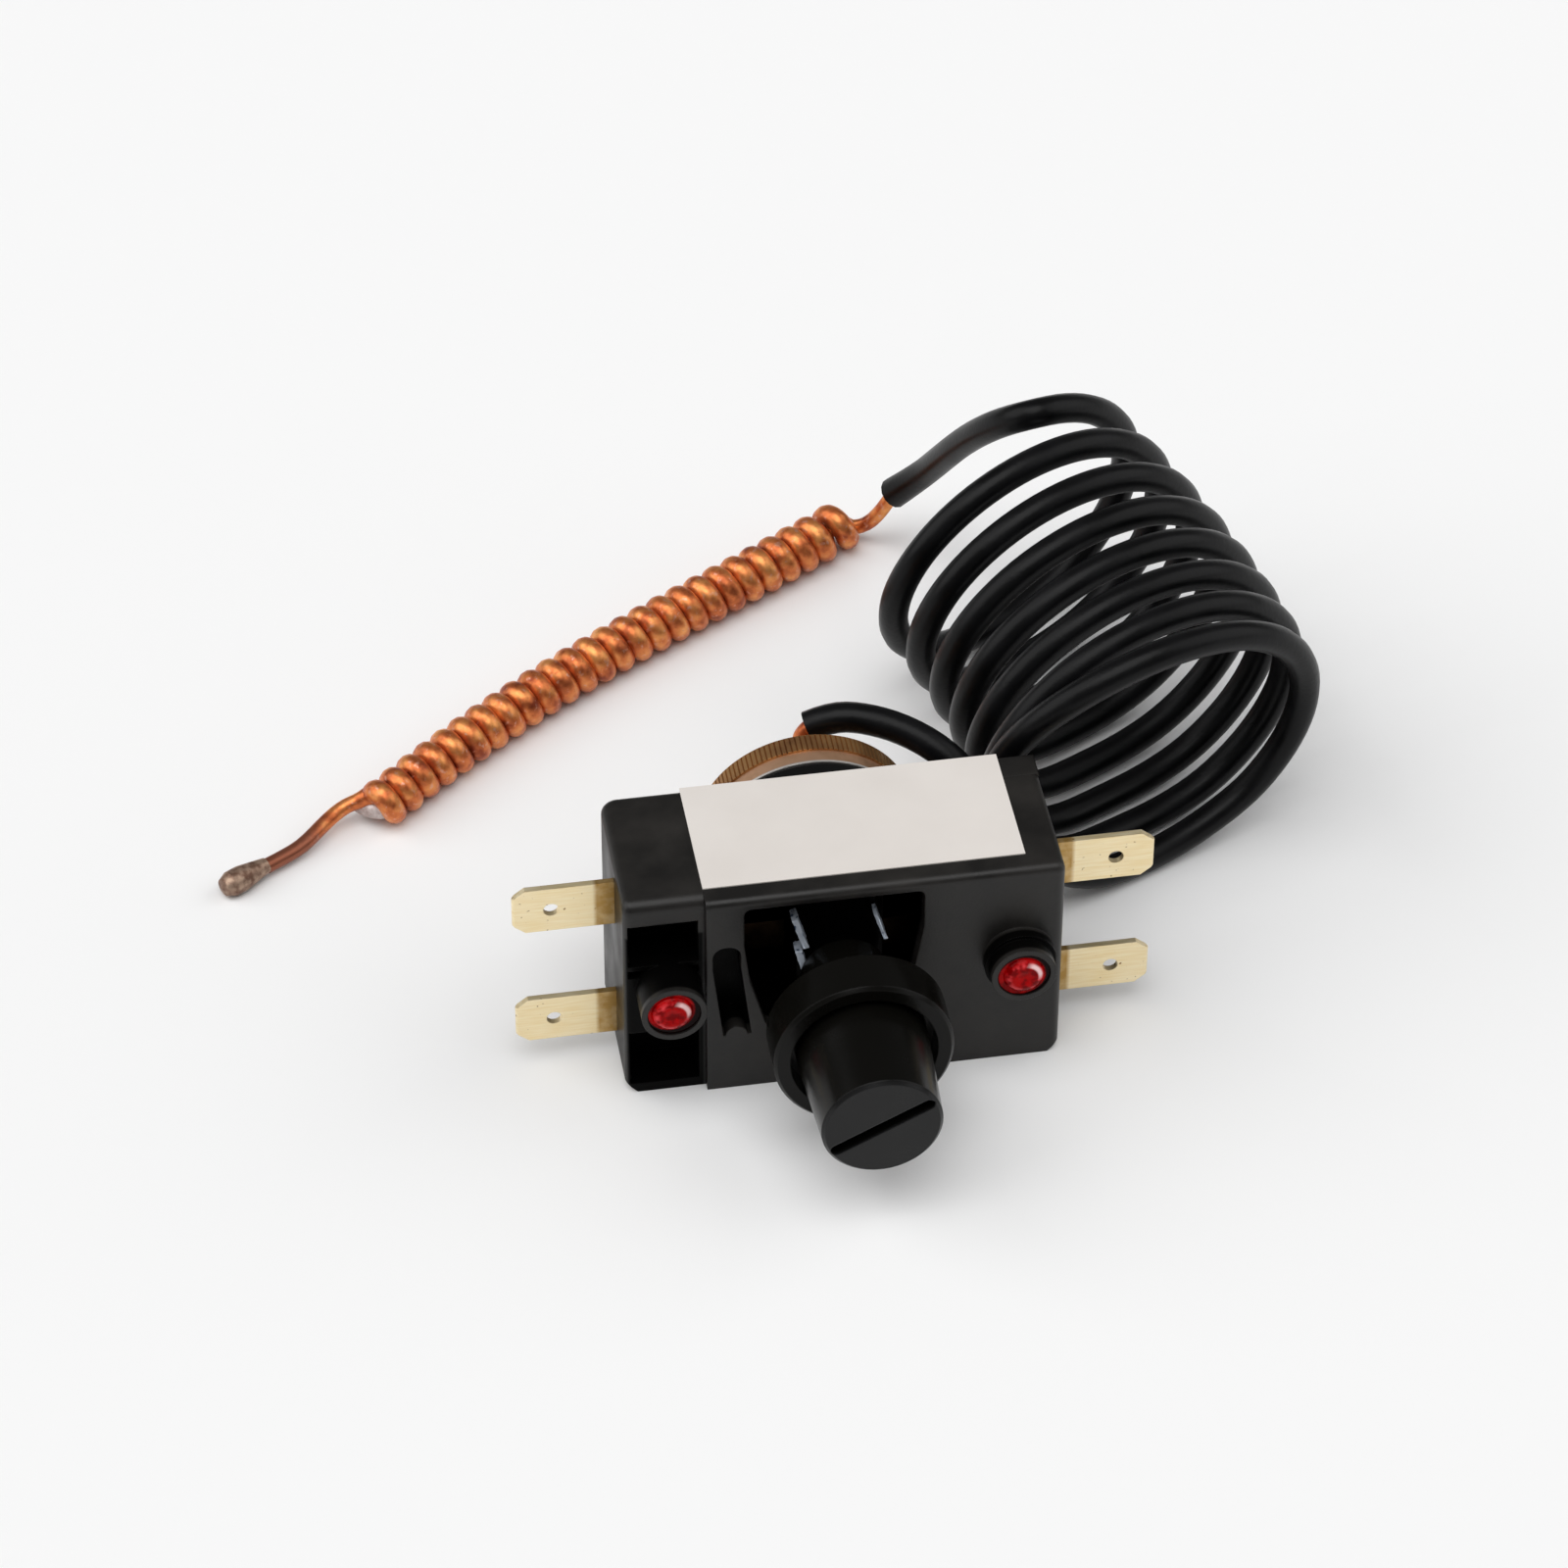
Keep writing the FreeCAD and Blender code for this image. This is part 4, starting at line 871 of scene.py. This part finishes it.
def pick(piece: bpy.types.Object, wanted: Callable[[Vector], bool]) -> None:
    """Select in edit mode the vertices of a piece that are wanted.

    Args:
        piece: The piece to select on.
        wanted: Tells whether a vertex at a place is wanted.
    """
    take(piece)
    bpy.ops.object.mode_set(mode="EDIT")
    bpy.ops.mesh.select_mode(type="VERT")
    bpy.ops.mesh.select_all(action="DESELECT")
    bpy.ops.object.mode_set(mode="OBJECT")
    for vertex in piece.data.vertices:
        vertex.select = wanted(vertex.co)
    bpy.ops.object.mode_set(mode="EDIT")


def nurbs_line(name: str, points: Iterable[Sequence[float]], radius: float,
               sides: int = 6, steps: int = 6) -> bpy.types.Object:
    """A smooth round line whose control points are a route.

    Args:
        name: The curve's name.
        points: The route in metres.
        radius: The tube's radius.
        sides: The curve's bevel resolution.
        steps: Steps drawn between two control points.

    Returns:
        The curve object at the origin.
    """
    route = [tuple(point) for point in points]
    curve = bpy.data.curves.new(name, "CURVE")
    curve.dimensions = "3D"
    spline = curve.splines.new("NURBS")
    spline.points.add(len(route) - 1)
    for control, point in zip(spline.points, route):
        control.co = (*point, 1.0)
    spline.order_u = 3
    spline.use_endpoint_u = True
    curve.resolution_u = steps
    curve.bevel_depth = radius
    curve.bevel_resolution = sides
    curve.use_fill_caps = True
    line = bpy.data.objects.new(name, curve)
    bpy.context.scene.collection.objects.link(line)
    return line


@dataclass
class LacquerSeal:
    """A drop of lacquer in a boss, sunken round a low dome where it covers the screw's recess."""

    side: Side
    across: float
    lacquer: bpy.types.Material
    height: float = 16.05 * MM
    back: float = -10.7 * MM
    brim: float = -13.55 * MM
    radius: float = 3.03 * MM
    ledge: float = 0.62 * MM
    dome: float = 0.75 * MM
    dome_steps: tuple[Span, ...] = (
        (0.45, 0.93), (0.35, 0.86), (0.16, 0.78), (0.04, 0.78), (-0.10, 0.7), (-0.14, 0.6),
    )
    shift: Point = (0.0, 0.0, 0.0)
    facets: int = 48
    reach: float = 0.1 * MM
    soft_angle: float = 50.0

    def build(self) -> None:
        """Pour the drop: a plug, a ledge along its rim and a rounded dome with a dimple."""
        deselect()
        bpy.ops.mesh.primitive_cylinder_add(
            vertices=self.facets, radius=self.radius, depth=self.back - self.brim,
            location=(self.across, (self.back + self.brim) / 2, self.height),
            rotation=(math.pi / 2, 0.0, 0.0))
        drop = settle(bpy.context.object, f"{self.side.value}_lacquer_drop")
        pick(drop, lambda place: place.y < self.brim + self.reach)
        bpy.ops.mesh.inset(thickness=self.ledge)
        bpy.ops.transform.translate(value=Vector(self.shift))
        for rise, shrink in self.dome_steps:
            bpy.ops.mesh.extrude_region_move(TRANSFORM_OT_translate={"value": (0.0, -self.dome * rise, 0.0)})
            bpy.ops.transform.resize(value=(shrink, 1.0, shrink))
        bpy.ops.object.mode_set(mode="OBJECT")
        smooth_by_angle(drop, self.soft_angle)
        place_piece(drop, self.lacquer)
        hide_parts(f"{self.side.value}_lacquer_seal")


@dataclass
class SleevedCapillary:
    """The black sleeve: its lead over the capsule, its loose coil and its tail to the bulb.

    Its points are in millimetres and its angles in degrees. The coil's middle, size and heading
    drift with each turn, counted from its middle turn.
    """

    radius: float = 1.85 * MM
    length: float = 1.0
    flare: float = 1.1
    steps_per_turn: int = 20
    middle_turn: float = 4.0
    centre: Point = (39.06, 44.67, 18.62)
    drift: Point = (1.574, -6.935, 0.055)
    drift_bend: Point = (-0.209, 0.084, 0.024)
    half_height: float = 17.32
    growth: float = 0.012
    growth_bend: float = 0.002
    widening: float = 1.155
    yaw: float = 25.9
    yaw_drift: float = -0.72
    lean: float = -9.94
    lean_drift: float = -0.09
    floor_gap: float = 1.92
    floor_softness: float = 0.5
    lead_push: float = 4.8
    lead_place: float = 7.76
    lead_spread: float = 0.13
    lead: tuple[Point, ...] = (
        (1.2, 22.9, 25.3), (3.9, 22.8, 26.5), (7.6, 22.2, 26.4), (12.2, 20.2, 25.7),
        (16.8, 16.9, 24.0), (20.6, 13.6, 19.8), (24.2, 12.9, 13.8), (28.6, 13.4, 7.6),
        (34.2, 15.3, 3.3), (40.6, 18.3, 1.9), (46.9, 21.1, 2.4), (52.7, 23.3, 4.6),
    )
    tail: tuple[Point, ...] = (
        (32.4, 68.4, 31.6), (29.9, 73.8, 25.4), (28.0, 79.4, 18.2), (26.2, 84.0, 12.0),
        (23.3, 86.2, 8.0),
    )
    first_turn: float = 8.36
    last_turn: float = 1.02

    def coil_point(self, turn: float) -> Vector:
        """A point of the loose coil.

        Args:
            turn: Turns from the bulb's end, where a whole number is a turn's top.

        Returns:
            The point in millimetres.
        """
        travel = turn - self.middle_turn
        base = Vector(self.centre) + Vector(self.drift) * travel + Vector(self.drift_bend) * travel ** 2
        scale = 1.0 + self.growth * travel + self.growth_bend * travel ** 2
        yaw = math.radians(self.yaw + self.yaw_drift * travel)
        lean = math.radians(self.lean + self.lean_drift * travel)
        across = Vector((math.cos(yaw), math.sin(yaw), 0.0))
        normal = Vector((math.sin(yaw) * math.cos(lean), -math.cos(yaw) * math.cos(lean), math.sin(lean)))
        upward = normal.cross(across)
        angle = math.tau * turn
        reach = self.half_height * scale / math.cos(math.pi / self.steps_per_turn)
        point = base + across * reach * self.widening * math.sin(angle) + upward * reach * math.cos(angle)
        point.y += self.lead_push * math.exp(-((turn - self.lead_place) / self.lead_spread) ** 2)
        rise = point.z - self.floor_gap
        point.z = self.floor_gap + (rise + math.sqrt(rise ** 2 + self.floor_softness)) / 2
        return point

    def route(self) -> list[Vector]:
        """The whole sleeve's control points, from the capsule to the bulb.

        Returns:
            The points in metres.
        """
        count = round((self.first_turn - self.last_turn) * self.steps_per_turn)
        step = (self.first_turn - self.last_turn) / count
        coil = [self.coil_point(self.first_turn - step * index) for index in range(count + 1)]
        return [point * MM for point in (*map(Vector, self.lead), *coil, *map(Vector, self.tail))]

    def build(self) -> None:
        route = self.route()
        sleeve = nurbs_line("sleeve", route, self.radius, sides=5, steps=4)
        sleeve.data.splines[0].points[-1].radius = self.flare
        place_piece(sleeve, SLEEVE_BLACK)
        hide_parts("sleeve_lead", "sleeve_coil", "sleeve_tail")
        length = sum((after - before).length for before, after in zip(route, route[1:]))
        logger.info("control polygon of the sleeve is %.3f m", length)


@dataclass
class SensingBulb:
    """The bulb: close-wound copper tube, its link to the sleeve and its soldered tail.

    Its sizes are in millimetres and its angles in degrees. The winding is bowed a little
    sideways, its turns lean and the one beside the link stands off.
    """

    far: Point = (-47.2, 42.8, 3.2)
    near: Point = (16.4, 86.4, 3.4)
    pitch: float = 3.05
    turns: float = 25.6
    overrun: float = 0.2
    front: float = 0.25
    stand_off: float = 0.85
    stand_off_turns: Span = (1.2, 0.8)
    outer_radius: float = 3.2
    growth: float = 0.2
    tube_radius: float = 1.5
    thin_radius: float = 0.95
    bow: float = 2.25
    bow_skew: float = 0.75
    bow_power: float = 1.4
    lean: float = 18.0
    skew: float = -10.0
    tilt: float = 0.8
    steps_per_turn: int = 20
    link: tuple[Point, ...] = (
        (23.3, 86.2, 8.0), (22.2, 86.3, 5.8), (20.3, 86.6, 3.1), (18.3, 87.2, 2.1),
    )
    tail: tuple[Point, ...] = (
        (-50.6, 43.5, 3.1), (-52.6, 43.2, 2.6),
        (-54.9, 41.6, 2.0), (-58.0, 38.3, 1.5), (-60.4, 36.8, 1.3), (-62.9, 35.3, 1.4),
    )

    def winding(self) -> list[Vector]:
        """The winding's control points, from the link to the tail.

        Returns:
            The points in millimetres.
        """
        loose_from, loose_over = self.stand_off_turns
        far = Vector(self.far)
        line = Vector(self.near) - far
        along = Vector((line.x, line.y, 0.0)).normalized()
        upward = Vector((0.0, 0.0, 1.0))
        across = along.cross(upward).normalized()
        tilted = upward + across * self.tilt
        turned = (Matrix.Rotation(math.radians(self.skew), 3, tilted)
                  @ Matrix.Rotation(math.radians(self.lean), 3, along.cross(tilted)))
        count = round((self.turns + self.overrun) * self.steps_per_turn)
        points = []
        for index in range(count + 1):
            turn = self.turns - index / self.steps_per_turn
            share = min(max(turn / self.turns, 0.0), 1.0)
            angle = math.tau * turn
            ring = self.outer_radius + self.growth * share - self.tube_radius
            reach = ring / math.cos(math.pi / self.steps_per_turn)
            loose = min(max(turn - self.turns + loose_from, 0.0), loose_over) / loose_over * self.stand_off
            travel = self.pitch * (turn - self.front) + loose
            centre = far + along * travel + Vector((0.0, 0.0, line.z * share))
            centre -= across * self.bow * abs(math.sin(math.pi * share ** self.bow_skew)) ** self.bow_power
            spoke = upward * reach * math.cos(angle) + across * reach * math.sin(angle)
            points.append(centre + turned @ spoke)
        return points

    def build(self) -> None:
        """Wind the bulb."""
        points = [*map(Vector, self.link), *self.winding(), *map(Vector, self.tail)]
        bulb = nurbs_line("bulb_winding", [point * MM for point in points], self.tube_radius * MM,
                          sides=5, steps=3)
        controls = bulb.data.splines[0].points
        for control in (*controls[:len(self.link)], *controls[len(controls) - len(self.tail):]):
            control.radius = self.thin_radius / self.tube_radius
        place_piece(bulb, COPPER)
        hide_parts("sensing_bulb")


@dataclass
class SolderWeb:
    """The grey web of solder that fills the corner between the tail and the first turn."""

    middle: Point = (-49.3 * MM, 42.6 * MM, 2.2 * MM)
    half_size: Point = (3.0 * MM, 0.9 * MM, 1.1 * MM)
    heading: float = -42.0
    slope: float = -14.0
    soft_angle: float = 60.0

    def build(self) -> None:
        """Run the web in."""
        deselect()
        bpy.ops.mesh.primitive_uv_sphere_add(
            segments=24, ring_count=12, radius=1.0, location=self.middle, scale=self.half_size,
            rotation=(0.0, math.radians(self.slope), math.radians(self.heading)))
        web = settle(bpy.context.object, "solder_web")
        smooth_by_angle(web, self.soft_angle)
        place_piece(web, WEB_SOLDER)


@dataclass(frozen=True)
class FrameEar:
    """A narrow ear of the spindle's frame, seen through the window, with painted bluish-white glints.

    Its top and its foot are places across and up the frame.
    """

    name: str
    top: Span
    foot: Span
    width: float
    front: float = -8.35 * MM
    back: float = -6.4 * MM
    cuts: int = 5
    dents: float = 0.07 * MM
    dents_alike: float = 0.4
    dents_seed: int = 3
    soft_angle: float = 40.0

    def build(self) -> None:
        """Make the ear: a thin slanted box, subdivided and dented."""
        across = self.foot[0] - self.top[0]
        down = self.top[1] - self.foot[1]
        middle = ((self.top[0] + self.foot[0]) / 2, (self.front + self.back) / 2,
                  (self.top[1] + self.foot[1]) / 2)
        deselect()
        bpy.ops.mesh.primitive_cube_add(
            size=1.0, location=middle, rotation=(0.0, -math.atan2(across, down), 0.0),
            scale=(self.width, self.back - self.front, math.hypot(across, down)))
        ear = settle(bpy.context.object, self.name)
        bpy.ops.object.mode_set(mode="EDIT")
        bpy.ops.mesh.select_all(action="SELECT")
        bpy.ops.mesh.subdivide(number_cuts=self.cuts)
        bpy.ops.transform.vertex_random(offset=self.dents, uniform=self.dents_alike, seed=self.dents_seed)
        bpy.ops.object.mode_set(mode="OBJECT")
        smooth_by_angle(ear, self.soft_angle)
        place_piece(ear, GLINT_PAINTED_STEEL)


@dataclass
class CapillaryStub:
    """The bare copper capillary that bends up from the capsule into the sleeve.

    Its route is in millimetres.
    """

    radius: float = 0.95 * MM
    route: tuple[Point, ...] = (
        (0.0, 18.1, 15.0), (0.0, 20.6, 15.0), (0.0, 22.2, 15.0), (0.1, 23.1, 18.4),
        (0.1, 23.0, 22.4), (0.6, 23.0, 24.6), (1.8, 22.9, 25.6),
    )

    def build(self) -> None:
        """Bend the stub."""
        stub = nurbs_line("capillary_bend", [Vector(point) * MM for point in self.route], self.radius)
        place_piece(stub, COPPER)
        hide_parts("capillary_stub")


@dataclass(frozen=True)
class Viewpoint:
    """Where the photograph was taken from."""

    azimuth: float = -9.6985
    elevation: float = 41.263
    roll: float = 0.257
    distance: float = 654.35 * MM
    target: Point = (-7.25 * MM, -10.1 * MM, 46.03 * MM)
    lens: float = 135.0
    sensor: float = 36.0
    clip: Span = (0.01, 20.0)

    def build(self) -> None:
        """Set the camera."""
        turn = math.radians(self.azimuth)
        roll = math.radians(self.roll)
        back = skyward(self.azimuth, self.elevation)
        right = Vector((math.cos(turn), math.sin(turn), 0.0))
        upward = back.cross(right)
        rolled = right * math.cos(roll) + upward * math.sin(roll)
        lens = bpy.data.cameras.new("photo_camera")
        lens.lens = self.lens
        lens.sensor_width = self.sensor
        lens.clip_start, lens.clip_end = self.clip
        camera = bpy.data.objects.new("photo_camera", lens)
        bpy.context.scene.collection.objects.link(camera)
        camera.location = Vector(self.target) + back * self.distance
        camera.rotation_euler = Matrix((rolled, back.cross(rolled), back)).transposed().to_euler()
        bpy.context.scene.camera = camera


@dataclass(frozen=True)
class SkyLamp:
    """One very wide distant lamp, which lights the whole floor alike.

    Its floor share is how bright it alone makes a white floor.
    """

    name: str
    azimuth: float
    elevation: float
    spread: float
    floor_share: float

    def build(self) -> None:
        """Hang the lamp."""
        back = skyward(self.azimuth, self.elevation)
        lamp = bpy.data.lights.new(self.name, "SUN")
        lamp.angle = math.radians(self.spread)
        lamp.energy = math.pi * self.floor_share / back.z
        sky = bpy.data.objects.new(self.name, lamp)
        bpy.context.scene.collection.objects.link(sky)
        sky.rotation_euler = back.to_track_quat("Z", "Y").to_euler()


@dataclass
class Studio:
    """The pale floor, the dim surroundings and the lamps."""

    floor_size: float = 8.0
    floor_drop: float = 0.02 * MM
    floor_colour: Colour = (0.905, 0.905, 0.905)
    surround: Colour = (1.0, 1.0, 1.0)
    world_light: float = 0.15
    lamps: tuple[SkyLamp, ...] = (
        SkyLamp("high_light", -20.0, 72.0, 50.0, 0.46),
        SkyLamp("left_light", -95.0, 36.0, 60.0, 0.26),
        SkyLamp("right_light", 85.0, 34.0, 60.0, 0.17),
    )

    def build(self) -> None:
        """Build the studio."""
        deselect()
        bpy.ops.mesh.primitive_plane_add(size=self.floor_size, location=(0.0, 0.0, -self.floor_drop))
        floor = settle(bpy.context.object, "studio_floor")
        dress(floor, self.floor_finish())
        for lamp in self.lamps:
            lamp.build()
        self.build_world()

    def floor_finish(self) -> bpy.types.Material:
        """A matt pale finish that keeps the shadows.

        Returns:
            The floor's material.
        """
        shade = Shade("studio_floor")
        shade.fix(Base_Color=self.floor_colour, Roughness=1.0, Specular_IOR_Level=0.0)
        return shade.material

    def build_world(self) -> None:
        """Light the surroundings evenly and dimly."""
        world = bpy.data.worlds.new("studio")
        world.use_nodes = True
        background = world.node_tree.nodes["Background"]
        background.inputs["Color"].default_value = (*self.surround, 1.0)
        background.inputs["Strength"].default_value = self.world_light
        bpy.context.scene.world = world


SEALS = (
    LacquerSeal(Side.LEFT, -20.4 * MM, LEFT_LACQUER, shift=(-0.25 * MM, 0.0, 0.2 * MM)),
    LacquerSeal(Side.RIGHT, 20.2 * MM, RIGHT_LACQUER),
)
EARS = (
    FrameEar("upper_left_ear", (-5.6 * MM, 23.6 * MM), (-4.3 * MM, 19.0 * MM), 0.7 * MM),
    FrameEar("lower_left_ear", (-5.1 * MM, 18.5 * MM), (-4.3 * MM, 15.2 * MM), 0.8 * MM),
    FrameEar("right_ear", (3.8 * MM, 23.0 * MM), (5.0 * MM, 19.1 * MM), 0.4 * MM),
)


def main() -> None:
    """Build every sub-assembly in order."""
    logging.basicConfig(level=logging.INFO, format="%(message)s")
    bpy.context.scene.view_settings.view_transform = "Standard"
    dress_nodes()
    for piece in (*SEALS, *EARS):
        piece.build()
    SensingBulb().build()
    SolderWeb().build()
    SleevedCapillary().build()
    CapillaryStub().build()
    Viewpoint().build()
    Studio().build()


if __name__ == "__main__":
    main()
